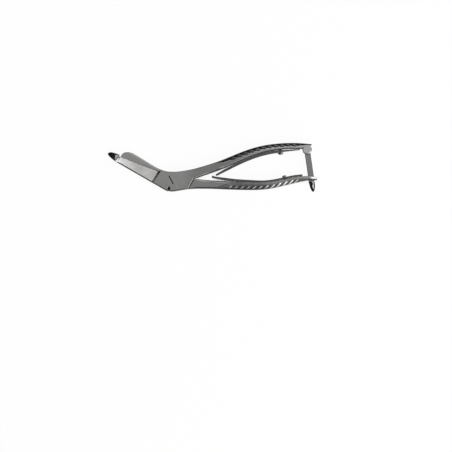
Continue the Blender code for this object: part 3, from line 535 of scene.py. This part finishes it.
    def flat_colour(
        self, kit: NodeKit, finish: SteelFinish, place: Socket, stain: Socket, scratch: Socket,
    ) -> Socket:
        """Colour of the ground steel, with its stains, scratches and tones.

        Args:
            kit: Helper of the material's tree.
            finish: The finish.
            place: Place on the piece.
            stain: How stained the place is.
            scratch: How scratched it is.

        Returns:
            The colour's socket.
        """
        stained = tuple(self.STAIN_TONE * part for part in finish.flat)
        bright = tuple(min(1.0, self.SCRATCH_TONE * part) for part in finish.flat)
        ground = kit.mix(stain, finish.flat, stained)
        scored = kit.mix(kit.math("MULTIPLY", scratch, self.SCRATCH_SHARE), ground, bright)
        if not finish.tones:
            return scored
        across = kit.vector("DOT_PRODUCT", place, finish.tones_way)
        toned = kit.node("ShaderNodeVectorMath", operation="SCALE")
        kit.feed(scored, toned.inputs[0])
        kit.feed(kit.steps(across, finish.tones), toned.inputs["Scale"])
        return toned.outputs[0]


class HollowShade:
    """Finds the corners and slots of the closed shears, and the faces that other parts cover,
    which get painted shade.
    """

    # Turn from one direction to the next, and how far over a face the directions start
    GOLDEN_ANGLE = 2.399963
    LIFT = 0.00004
    # How far a corner's place is moved to its face's middle, as a share of the way
    CORNER_SHIFT = 0.12
    # Depth past which the whole of a broad face counts as covered and gets the painted shade in
    # full
    COVERED = 0.2

    def __init__(self, rays: int = 20, reach: float = 0.0035) -> None:
        """Builds one search tree over all the CAD solids.

        Args:
            rays: Number of directions tried at each place.
            reach: How near another face must be to count, in metres.
        """
        bm = bmesh.new()
        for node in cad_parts.values():
            spare = node.data.copy()
            spare.transform(node.matrix_world)
            bm.from_mesh(spare)
            bpy.data.meshes.remove(spare)
        self.tree = BVHTree.FromBMesh(bm)
        bm.free()
        self.reach = reach
        self.ways: list[Vector] = []
        for k in range(rays):
            height = math.sqrt((k + 0.5) / rays)
            turn = self.GOLDEN_ANGLE * k
            flat = math.sqrt(1.0 - height * height)
            self.ways.append(Vector((flat * math.cos(turn), flat * math.sin(turn), height)))

    def depth(self, place: Vector, normal: Vector) -> float:
        """Share of the directions over a place that are closed by another face nearby."""
        aim = normal.to_track_quat("Z", "Y").to_matrix()
        start = place + normal * self.LIFT
        closed = sum(
            1 for way in self.ways if self.tree.ray_cast(start, aim @ way, self.reach)[0]
        )
        return closed / len(self.ways)

    def mark(self, mesh: bpy.types.Mesh, broad: float = 0.000014) -> None:
        """Writes the depth of each face corner into the mesh.

        Args:
            mesh: The mesh, in world place.
            broad: Area in square metres past which a face is marked as a whole.
        """
        layer = mesh.attributes.new("hollow_shade", "FLOAT", "CORNER")
        values = [0.0] * len(mesh.loops)
        for face in mesh.polygons:
            middle, normal = Vector(face.center), Vector(face.normal)
            for corner in face.loop_indices:
                point = mesh.vertices[mesh.loops[corner].vertex_index].co
                values[corner] = self.depth(point.lerp(middle, self.CORNER_SHIFT), normal)
            if face.area > broad:
                least = min(values[corner] for corner in face.loop_indices)
                for corner in face.loop_indices:
                    values[corner] = 1.0 if least > self.COVERED else 0.0
        layer.data.foreach_set("value", values)


@dataclass(frozen=True)
class PaintedRim:
    """A narrow rim along the border of level faces, with a painted highlight or painted shade by
    the way the border faces.

    Args:
        start: Smallest X of the faces in metres.
        end: Largest X of the faces in metres.
        width: Width of the rim in metres.
        bright: Compass directions on which the rim gets a painted highlight.
        dull: Compass directions on which the rim gets painted shade.
        on_blade: Whether the faces are the blade's ground face.
        rim_highlight: How strong the painted highlight is, 0 to 1.
    """

    # How nearly a border looks in a rim's direction where the rim starts, and the soft band
    FACING = 0.80
    BAND = 0.10

    start: float
    end: float
    width: float
    bright: tuple[Plan, ...] = ()
    dull: tuple[Plan, ...] = ()
    on_blade: bool = False
    rim_highlight: float = 1.0

    def value(self, outward: Vector) -> float:
        """How much painted shade, up to 1, or painted highlight, down to -1, the rim carries.

        Args:
            outward: Compass direction that the border looks in.

        Returns:
            The value.
        """
        aim = outward.normalized()
        shares = []
        for ways in (self.dull, self.bright):
            near = max((aim.dot(Vector(way)) for way in ways), default=-1.0)
            shares.append(max(0.0, min(1.0, (near - self.FACING) / self.BAND)))
        return shares[0] - self.rim_highlight * shares[1]


@dataclass
class Skin:
    """A finished skin over one CAD node.

    Args:
        node: Name of the CAD node.
        body: CAD body that the skin rides on.
        finish: Its steel finish.
        slot: Material slot of the record; not used.
        broken_edge: Width of the broken edges in metres, 0 for none.
        sharp: Angle in degrees past which an edge stays crisp.
        cuts: Places, each with a direction, at which the broad faces are parted.
        rims: Rims along the top faces with a painted highlight or painted shade.
        flush: Flush heads in the top face, each with its middle and radius in plan.
    """

    # Distance under which corners merge, and angle in degrees under which faces join
    MERGE = 2e-6
    JOIN_ANGLE = 0.6
    # Top faces: how nearly they look up, the layer that they lie in, and when one is broad
    TOP_FACING = 0.99
    TOP_LAYER = 0.0001
    BROAD_AREA = 0.00001
    # How near a corner must be to a cutting plane to lie on it
    ON_PLANE = 1e-7
    # Edges are broken past this angle in degrees, and from this many times the bevel's width
    BREAK_ANGLE = 50.0
    BREAK_LENGTH = 4.0
    # Margins round a flush head without a painted rim and without a broken edge
    PAINTED_RIM_MARGIN = 0.0012
    BREAK_MARGIN = 0.0005
    # How nearly a corner must look like its flat face to be turned all the way to it
    NEARLY_FLAT = 0.96

    node: str
    body: str
    finish: SteelFinish
    slot: str
    broken_edge: float = 0.00012
    sharp: float = 25.0
    cuts: tuple[tuple[Point, Point], ...] = ()
    rims: tuple[PaintedRim, ...] = ()
    flush: tuple[Point, ...] = ((0.0, 0.0, 0.0055), (*EAR_MIDDLE, 0.0017))

    def mesh(self) -> bpy.types.Mesh:
        """The CAD node's mesh, merged, with flat regions joined and sharp edges broken.

        Returns:
            The new mesh.
        """
        bm = bmesh.new()
        bm.from_mesh(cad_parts[self.node].data)
        bmesh.ops.remove_doubles(bm, verts=bm.verts, dist=self.MERGE)
        bmesh.ops.dissolve_limit(
            bm, angle_limit=math.radians(self.JOIN_ANGLE), verts=bm.verts, edges=bm.edges,
        )
        self.part_broad_faces(bm)
        self.shape(bm)
        for rim in self.rims:
            self.lay_rim(bm, rim, self.rim_faces(bm, rim))
        if self.broken_edge > 0.0:
            self.break_edges(bm)
        for face in bm.faces:
            face.smooth = True
        for edge in bm.edges:
            edge.smooth = edge.calc_face_angle(math.pi) < math.radians(self.sharp)
        made = bpy.data.meshes.new(f"{self.node}_skin")
        bm.to_mesh(made)
        bm.free()
        return made

    def part_broad_faces(self, bm: bmesh.types.BMesh) -> None:
        """Parts the broad level faces, so that a covered part of one can carry painted shade.

        Args:
            bm: The mesh, changed in place.
        """
        planes = list(self.cuts)
        for rim in self.rims:
            limits = (x for x in (rim.start, rim.end) if abs(x) < FAR)
            planes += [((x, 0.0, 0.0), (1.0, 0.0, 0.0)) for x in limits]
        for place, way in planes:
            self.cut_top(bm, place, way, self.BROAD_AREA)

    def cut_top(
        self, bm: bmesh.types.BMesh, place: Point | Vector, way: Point | Vector,
        least_area: float = 0.0,
    ) -> None:
        """Cuts the top faces along a plane.

        Args:
            bm: The mesh, changed in place.
            place: A point on the plane.
            way: Direction that the plane looks in.
            least_area: Area in square metres up to which a face stays whole.
        """
        top = [
            face for face in bm.faces
            if face.normal.z > self.TOP_FACING and face.calc_area() > least_area
        ]
        edges = {edge for face in top for edge in face.edges}
        bmesh.ops.bisect_plane(
            bm, geom=top + list(edges), dist=self.ON_PLANE, plane_co=place, plane_no=way,
        )

    def is_flush(self, place: Vector, margin: float) -> bool:
        """Whether a place lies at a pin's flush head, or less than a margin from it."""
        return any(
            (place.xy - Vector((x, y))).length < radius + margin for x, y, radius in self.flush
        )

    def shape(self, bm: bmesh.types.BMesh) -> None:
        """Changes the mesh further, where the piece needs it."""

    def rim_faces(self, bm: bmesh.types.BMesh, rim: PaintedRim) -> list[bmesh.types.BMFace]:
        """The level top faces that a rim runs round.

        Args:
            bm: The mesh.
            rim: The painted rim.

        Returns:
            The faces.
        """
        top = max(vert.co.z for vert in bm.verts) - self.TOP_LAYER
        found = []
        for face in bm.faces:
            middle = face.calc_center_median()
            if face.normal.z > LEVEL and middle.z > top and rim.start < middle.x < rim.end:
                found.append(face)
        return found

    def lay_rim(self, bm: bmesh.types.BMesh, rim: PaintedRim, region: list[bmesh.types.BMFace]) -> None:
        """Lays a rim along the border of some faces and marks its painted highlight or painted
        shade.

        Args:
            bm: The mesh, changed in place.
            rim: The painted rim.
            region: The faces that it runs round.
        """
        layer = bm.loops.layers.float.get("rim") or bm.loops.layers.float.new("rim")
        inside = set(region)
        outward: dict[bmesh.types.BMVert, Vector] = {}
        for face in region:
            for loop in face.loops:
                if sum(1 for other in loop.edge.link_faces if other in inside) > 1:
                    continue
                ends = (loop.vert, loop.link_loop_next.vert)
                way = (ends[1].co - ends[0].co).xy
                for vert in ends:
                    sofar = outward.get(vert, Vector((0.0, 0.0)))
                    outward[vert] = sofar + Vector((way.y, -way.x)).normalized()
        made = bmesh.ops.inset_region(
            bm, faces=region, thickness=rim.width, depth=0.0, use_boundary=True,
        )
        for face in made["faces"]:
            aims = [outward[vert] for vert in face.verts if vert in outward]
            if aims and not any(self.is_flush(vert.co, self.PAINTED_RIM_MARGIN) for vert in face.verts):
                value = rim.value(sum(aims, Vector((0.0, 0.0))))
                for loop in face.loops:
                    loop[layer] = value

    def break_edges(self, bm: bmesh.types.BMesh) -> None:
        """Bevels the long sharp outer edges, but not those round a pin's flush head.

        Args:
            bm: The mesh, changed in place.
        """
        chosen = [
            edge for edge in bm.edges
            if edge.is_manifold and edge.calc_length() > self.BREAK_LENGTH * self.broken_edge
            and edge.is_convex and edge.calc_face_angle() > math.radians(self.BREAK_ANGLE)
            and not self.is_flush(edge.verts[0].co, self.BREAK_MARGIN)
        ]
        if chosen:
            bmesh.ops.bevel(
                bm, geom=chosen, offset=self.broken_edge, offset_type="OFFSET", segments=2,
                profile=0.5, affect="EDGES", clamp_overlap=True, material=-1,
            )

    def build(self, shop: SteelShop, hollow_shade_finder: HollowShade) -> bpy.types.Object:
        """Makes the piece, dresses it and sets it on its body.

        Args:
            shop: Where the materials come from.
            hollow_shade_finder: What finds the piece's corners and slots for the painted shade.

        Returns:
            The finished piece.
        """
        mesh = self.mesh()
        made = bpy.data.objects.new(f"{self.node}_skin", mesh)
        bpy.context.scene.collection.objects.link(made)
        hollow_shade_finder.mark(mesh)
        self.even_normals(made)
        made.data.materials.append(shop.material(self.finish))
        self.dress(made, shop)
        self.hold(made)
        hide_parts(self.node)
        log.info("%s: %d faces", made.name, len(made.data.polygons))
        return made

    def even_normals(self, made: bpy.types.Object) -> None:
        """Keeps broad faces flat in the shading, so that only the rounded edges turn.

        Args:
            made: The piece, whose mesh is exchanged.
        """
        step = made.modifiers.new("even_normals", "WEIGHTED_NORMAL")
        step.keep_sharp = True
        graph = bpy.context.evaluated_depsgraph_get()
        flat = bpy.data.meshes.new_from_object(made.evaluated_get(graph))
        made.modifiers.remove(step)
        old = made.data
        made.data = flat
        bpy.data.meshes.remove(old)
        flat.name = made.name
        turned = [Vector(corner.vector) for corner in flat.corner_normals]
        level: dict[int, Vector] = {}
        for face in flat.polygons:
            if self.is_ground(face):
                for corner in face.vertices:
                    level[corner] = Vector(face.normal)
        for place, corner in enumerate(flat.loops):
            aim = level.get(corner.vertex_index)
            if aim is not None and turned[place].dot(aim) > self.NEARLY_FLAT:
                turned[place] = aim
        flat.normals_split_custom_set(turned)

    def is_ground(self, face: bpy.types.MeshPolygon) -> bool:
        """Whether a face is ground flat and so must shade flat."""
        return abs(face.normal.z) > LEVEL

    def dress(self, made: bpy.types.Object, shop: SteelShop) -> None:
        """Adds any further finish to the piece."""

    def hold(self, made: bpy.types.Object) -> None:
        """Lets the piece ride on its CAD body."""
        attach(made, self.body)


@dataclass
class HalfSkin(Skin):
    """Skin of one half, whose blade has a finish of its own.

    Args:
        blade: Finish of the blade.
        shoulder: Distance from the screw axis to the blade's shoulder in metres.
        blade_end: Distance from the screw axis to the blade's end, where the probe starts.
        blade_turn: Angle of the blade above the handles' line in degrees.
        ear: Middle of the ear that carries the catch bar.
        ear_reach: How far the ear's own finish reaches round it, 0 for none.
    """

    # Places of the further finishes among the piece's materials
    BLADE_PLACE, EAR_PLACE, PROBE_PLACE = 1, 2, 3
    # Strips of the ground face meet at less than this angle in degrees
    STRIP_ANGLE = 9.0
    # How nearly a face must look like the ground one, and the least area in square metres
    # of one that shades flat and of one that carries a rim
    GROUND_FACING = 0.985
    GROUND_AREA = 0.00004
    PAINTED_RIM_AREA = 0.0001

    blade: SteelFinish = LOWER_BLADE
    shoulder: float = 0.0168
    blade_end: float = 0.0655
    blade_turn: float = 30.0
    ear: Plan = EAR_MIDDLE
    ear_reach: float = 0.0

    def blade_way(self) -> Vector:
        """Direction from the screw axis to the blade's tip."""
        turn = math.radians(self.blade_turn)
        return Vector((-math.cos(turn), math.sin(turn), 0.0))

    def shape(self, bm: bmesh.types.BMesh) -> None:
        """Joins the strips of the blade's ground face into one face."""
        way = self.blade_way()
        strips = [
            face for face in bm.faces
            if self.looks_ground(face.normal)
            and self.shoulder < face.calc_center_median().dot(way) < self.blade_end
        ]
        edges = {edge for face in strips for edge in face.edges}
        inner = [
            edge for edge in edges
            if len(edge.link_faces) == 2 and all(face in strips for face in edge.link_faces)
        ]
        bmesh.ops.dissolve_limit(
            bm, angle_limit=math.radians(self.STRIP_ANGLE), verts=[], edges=inner,
        )

    def rim_faces(self, bm: bmesh.types.BMesh, rim: PaintedRim) -> list[bmesh.types.BMFace]:
        """The faces that a rim runs round, on the plate or on the blade."""
        if not rim.on_blade:
            return super().rim_faces(bm, rim)
        way = self.blade_way()
        return [
            face for face in bm.faces
            if face.calc_area() > self.PAINTED_RIM_AREA and self.looks_ground(face.normal)
            and face.calc_center_median().dot(way) > self.shoulder
        ]

    def looks_ground(self, normal: Vector) -> bool:
        """Whether a normal is nearly that of the blade's ground face."""
        return normal.dot(Vector(self.blade.ground)) > self.GROUND_FACING

    def is_ground(self, face: bpy.types.MeshPolygon) -> bool:
        """Whether a face is ground flat and so must shade flat."""
        broad = face.area > self.GROUND_AREA and self.looks_ground(face.normal)
        return broad or super().is_ground(face)

    def dress(self, made: bpy.types.Object, shop: SteelShop) -> None:
        """Gives the blade past its shoulder, the ear and the probe their own finishes."""
        for finish in (self.blade, EAR, PROBE):
            made.data.materials.append(shop.material(finish))
        way = self.blade_way()
        ear = Vector(self.ear)
        for face in made.data.polygons:
            middle = Vector(face.center)
            if middle.dot(way) > self.blade_end and self.blade is LOWER_BLADE:
                face.material_index = self.PROBE_PLACE
            elif middle.dot(way) > self.shoulder:
                face.material_index = self.BLADE_PLACE
            elif (middle.xy - ear).length < self.ear_reach:
                face.material_index = self.EAR_PLACE


@dataclass
class BarSkin(Skin):
    """Skin of the catch bar, whose tongue has a narrow land with a painted highlight and flanks
    with painted shade.

    Args:
        pivot: Where the bar swings, in plan.
        way: Direction from there to the tongue's tip, in plan.
        tongue: Distance from the pivot to the tongue's start in metres.
        land: Both borders of the land, to the left and right of the bar's middle line.
    """

    # How far the tongue's faces look up, and the painted highlight on the land and painted shade
    # on its flanks
    TONGUE_FACING = 0.2
    PAINTED_LAND_HIGHLIGHT = -0.9
    PAINTED_FLANK_SHADE = 1.0

    pivot: Plan = EAR_MIDDLE
    way: Plan = BAR_WAY
    tongue: float = 0.0365
    land: Plan = (-0.0011, -0.0022)

    def shape(self, bm: bmesh.types.BMesh) -> None:
        """Parts the tongue's top lengthwise and paints shade on its flanks and a highlight on its
        land.
        """
        way, pivot = Vector((*self.way, 0.0)), Vector((*self.pivot, 0.0))
        left = Vector((way.y, -way.x, 0.0))
        planes = [(pivot + way * self.tongue, way)]
        planes += [(pivot + left * place, left) for place in self.land]
        for place, across in planes:
            self.cut_top(bm, place, across)
        layer = bm.loops.layers.float.new("rim")
        for face in bm.faces:
            middle = face.calc_center_median() - pivot
            if middle.dot(way) > self.tongue and face.normal.z > self.TONGUE_FACING:
                inner = self.land[1] < middle.dot(left) < self.land[0]
                for loop in face.loops:
                    loop[layer] = self.PAINTED_LAND_HIGHLIGHT if inner else self.PAINTED_FLANK_SHADE


@dataclass
class PinSkin(Skin):
    """Skin of a pin whose rim is spread in its seat, so that only a hairline stays open.

    Args:
        axis: Where the pin stands, in plan.
        spread: How far the top rim is spread in metres.
        spread_depth: Depth of the spread rim in metres.
    """

    # Share of the radius past which a corner of the head is part of its rim
    RIM_SHARE = 0.8

    axis: Plan = (0.0, 0.0)
    spread: float = 0.00024
    spread_depth: float = 0.00025

    def shape(self, bm: bmesh.types.BMesh) -> None:
        """Spreads the rim of the pin's top."""
        middle = Vector(self.axis)
        top = max(vert.co.z for vert in bm.verts)
        head = [vert for vert in bm.verts if vert.co.z > top - self.spread_depth]
        radius = max((vert.co.xy - middle).length for vert in head)
        for vert in head:
            out = vert.co.xy - middle
            if out.length > self.RIM_SHARE * radius:
                vert.co.xy = middle + out.normalized() * (radius + self.spread)


@dataclass
class LeafSkin(Skin):
    """Skin of a leaf spring.

    Args:
        other: Body of the other half; not used.
        root: Point where the leaf leaves its handle, in the row frame; not used.
        tip: Point of its free end; not used.
    """

    other: str = ""
    root: Point = (0.0, 0.0, 0.0)
    tip: Point = (0.0, 0.0, 0.0)

    def hold(self, made: bpy.types.Object) -> None:
        """Bakes the leaf's place into its mesh, without setting it on a body."""
        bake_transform(made)


class Shears:
    """All the pieces of the shears."""

    def __init__(self) -> None:
        """Lists the skins in the order in which they are made."""
        self.skins: list[Skin] = [
            HalfSkin(
                "upper_half", "front", UPPER_HANDLE, "satin_steel",
                # painted rims: highlight on plate borders facing lower right, shade on those
                # facing down or left and on the blade's back, highlight round the ear
                rims=(
                    PaintedRim(
                        -FAR, 0.060, 0.0006, bright=((0.66, -0.75),),
                        dull=((-0.50, -0.866), (-0.866, 0.50), (0.10, -0.995)), rim_highlight=0.85,
                    ),
                    PaintedRim(0.1488, FAR, 0.0006, bright=((0.71, -0.71),)),
                    PaintedRim(-FAR, FAR, 0.0006, dull=((-0.50, -0.866),), on_blade=True),
                ),
                blade=LOWER_BLADE, shoulder=0.0156, ear_reach=0.0052,
            ),
            HalfSkin(
                "lower_half", "rear", LOWER_HANDLE, "satin_steel",
                # painted shade along the lower half's plate borders facing down and to the upper
                # left
                rims=(PaintedRim(-FAR, 0.066, 0.0009, dull=((0.0, -1.0), (-0.887, 0.463))),),
                blade=UPPER_BLADE,
                # parts a broad face so that its covered strip can carry painted shade
                cuts=(((-0.01316, 0.0076, 0.0), (-0.866, 0.5, 0.0)),),
            ),
            PinSkin("joint_screw", "rear", SCREW, "satin_steel", 0.0),
            LeafSkin(
                "upper_spring", "front", SPRING, "spring_steel", 0.0, 40.0, other="rear",
                root=(0.0800, 0.0195, 0.004), tip=(0.0510, 0.0052, 0.004),
            ),
            LeafSkin(
                "lower_spring", "rear", SPRING, "spring_steel", 0.0, 40.0, other="front",
                root=(0.0780, -0.0010, 0.004), tip=(0.0476, 0.0030, 0.004),
            ),
            Skin("upper_spring_screw", "front", SPRING_SCREW, "bright_steel", 0.0),
            Skin("lower_spring_screw", "rear", SPRING_SCREW, "bright_steel", 0.0),
            BarSkin(
                "catch_bar", "catch", BAR, "satin_steel", 0.00008, sharp=12.0,
                cuts=(
                    ((0.1554, 0.0275, 0.0), (*BAR_WAY, 0.0)),
                    ((0.1586, 0.0058, 0.0), (*BAR_WAY, 0.0)),
                ),
            ),
            PinSkin(
                "catch_rivet", "front", EAR, "bright_steel", 0.0, axis=(0.1544, 0.034361),
                spread=0.0001,
            ),
        ]

    def build(self, shop: SteelShop, hollow_shade_finder: HollowShade) -> None:
        """Builds every skin.

        Args:
            shop: Where the materials come from.
            hollow_shade_finder: What finds the corners and slots for the painted shade.
        """
        for skin in self.skins:
            skin.build(shop, hollow_shade_finder)


@dataclass(frozen=True)
class Softbox:
    """One soft lamp.

    Args:
        name: Name of the lamp.
        place: Where it hangs, in metres.
        width: Its width in metres.
        height: Its height in metres.
        glow: Brightness of its face, 1 for white.
    """

    name: str
    place: Point
    width: float
    height: float
    glow: float

    def hang(self, aim: Vector) -> None:
        """Makes the lamp and turns it towards a point.

        Args:
            aim: The point that it faces.
        """
        lamp = bpy.data.lights.new(self.name, "AREA")
        lamp.shape = "RECTANGLE"
        lamp.size, lamp.size_y = self.width, self.height
        lamp.energy = self.glow * self.width * self.height * math.pi
        holder = bpy.data.objects.new(self.name, lamp)
        holder.location = self.place
        holder.rotation_euler = (aim - Vector(self.place)).to_track_quat("-Z", "Y").to_euler()
        bpy.context.scene.collection.objects.link(holder)


@dataclass
class Studio:
    """The floor, the light and the camera.

    Args:
        middle: World point at the photograph's middle, in metres.
        picture_width: Width of the picture at the shears, in metres.
        lens: Focal length in millimetres.
        floor_size: Side of the floor in metres.
        floor_glow: Share of the floor's white that does not depend on the light.
    """

    # Floor: its drop under the shears, its white, the reach of the painted shade that dims its
    # glow in narrow slots, and how open a place must be to glow in full
    FLOOR_DROP = 0.0002
    FLOOR_WHITE = 0.9
    SLOT_SHADE_REACH = 0.02
    SLOT_SHADE_OPEN = 0.025
    # World: the way to its bright side, that side's limits and strength, the limits and
    # strength overhead, and the strength everywhere
    BRIGHT_WAY = (0.80, -0.60, 0.0)
    BRIGHT_LIMITS = (0.30, 0.85)
    BRIGHT_STRENGTH = 1.50
    HIGH_LIMITS = (0.80, 0.97)
    HIGH_STRENGTH = 0.67
    DIM_STRENGTH = 0.20
    # Camera: width of its sensor in millimetres, and how far it sees in metres
    SENSOR_WIDTH = 36.0
    SIGHT = 20.0

    middle: Point = (0.06231, -0.05232, 0.006)
    picture_width: float = 0.51302
    lens: float = 135.0
    floor_size: float = 6.0
    floor_glow: float = 0.94
    lamps: list[Softbox] = field(default_factory=lambda: [
        Softbox("overhead_softbox", (0.44, 0.60, 1.42), 0.9, 0.9, 2.1),
        Softbox("side_softbox", (1.24, -0.79, 0.57), 1.7, 0.7, 5.0),
    ])

    def build(self) -> None:
        """Builds the whole studio."""
        self.lay_floor()
        self.light_world()
        for lamp in self.lamps:
            lamp.hang(Vector(self.middle))
        self.set_camera()
        bpy.context.scene.view_settings.view_transform = "Standard"

    def lay_floor(self) -> None:
        """A plain white floor just under the shears, which keeps their shadow and gets painted
        shade in narrow slots.
        """
        bm = bmesh.new()
        bmesh.ops.create_grid(bm, x_segments=1, y_segments=1, size=self.floor_size / 2)
        bmesh.ops.translate(bm, vec=(0.0, 0.0, -self.FLOOR_DROP), verts=bm.verts)
        mesh = bpy.data.meshes.new("floor")
        bm.to_mesh(mesh)
        bm.free()
        floor = bpy.data.objects.new("floor", mesh)
        bpy.context.scene.collection.objects.link(floor)
        white = bpy.data.materials.new("white_floor")
        white.use_nodes = True
        kit = NodeKit(white.node_tree)
        nodes = white.node_tree.nodes
        nodes.remove(nodes["Principled BSDF"])
        matt = kit.node("ShaderNodeBsdfDiffuse")
        matt.inputs["Color"].default_value = (*grey(self.FLOOR_WHITE), 1.0)
        glow = kit.node("ShaderNodeEmission")
        path = kit.node("ShaderNodeLightPath")
        seen = kit.math("MAXIMUM", path.outputs["Is Camera Ray"], path.outputs["Is Glossy Ray"])
        seen = kit.math("MAXIMUM", seen, path.outputs["Is Transmission Ray"])
        # painted shade: the floor's glow is dimmed where ambient occlusion finds a narrow slot
        # between parts
        slot = kit.node("ShaderNodeAmbientOcclusion", samples=8)
        slot.inputs["Distance"].default_value = self.SLOT_SHADE_REACH
        seen = kit.math("MULTIPLY", seen, kit.ramp(slot.outputs["AO"], 0.0, self.SLOT_SHADE_OPEN))
        blend = kit.node("ShaderNodeMixShader")
        share = kit.math("MULTIPLY", seen, self.floor_glow)
        for place, value in enumerate((share, matt.outputs[0], glow.outputs[0])):
            kit.feed(value, blend.inputs[place])
        kit.feed(blend.outputs[0], nodes["Material Output"].inputs["Surface"])
        mesh.materials.append(white)

    def light_world(self) -> None:
        """A soft grey surround, brighter on the right and dim towards the left horizon."""
        world = bpy.data.worlds.new("studio")
        bpy.context.scene.world = world
        world.use_nodes = True
        kit = NodeKit(world.node_tree)
        ground = world.node_tree.nodes["Background"]
        way = kit.node("ShaderNodeTexCoord").outputs["Generated"]
        strength: Value = self.DIM_STRENGTH
        for aim, limits, most in (
            ((0.0, 0.0, 1.0), self.HIGH_LIMITS, self.HIGH_STRENGTH),
            (self.BRIGHT_WAY, self.BRIGHT_LIMITS, self.BRIGHT_STRENGTH),
        ):
            share = kit.ramp(kit.vector("DOT_PRODUCT", way, aim), *limits)
            strength = kit.math("ADD", kit.math("MULTIPLY", share, most), strength)
        kit.feed(strength, ground.inputs["Strength"])
        ground.inputs["Color"].default_value = (1.0, 1.0, 1.0, 1.0)

    def set_camera(self) -> None:
        """Hangs the camera straight over the picture's middle."""
        lens = bpy.data.cameras.new("camera")
        lens.lens = self.lens
        lens.sensor_width = self.SENSOR_WIDTH
        camera = bpy.data.objects.new("camera", lens)
        x, y, z = self.middle
        reach = self.picture_width * self.lens / lens.sensor_width
        camera.location = (x, y, z + reach)
        lens.clip_end = self.SIGHT
        bpy.context.scene.collection.objects.link(camera)
        bpy.context.scene.camera = camera


def main() -> None:
    """Builds the shears and the studio."""
    logging.basicConfig(level=logging.INFO, format="%(name)s: %(message)s")
    Shears().build(SteelShop(), HollowShade())
    Studio().build()


if __name__ == "__main__":
    main()
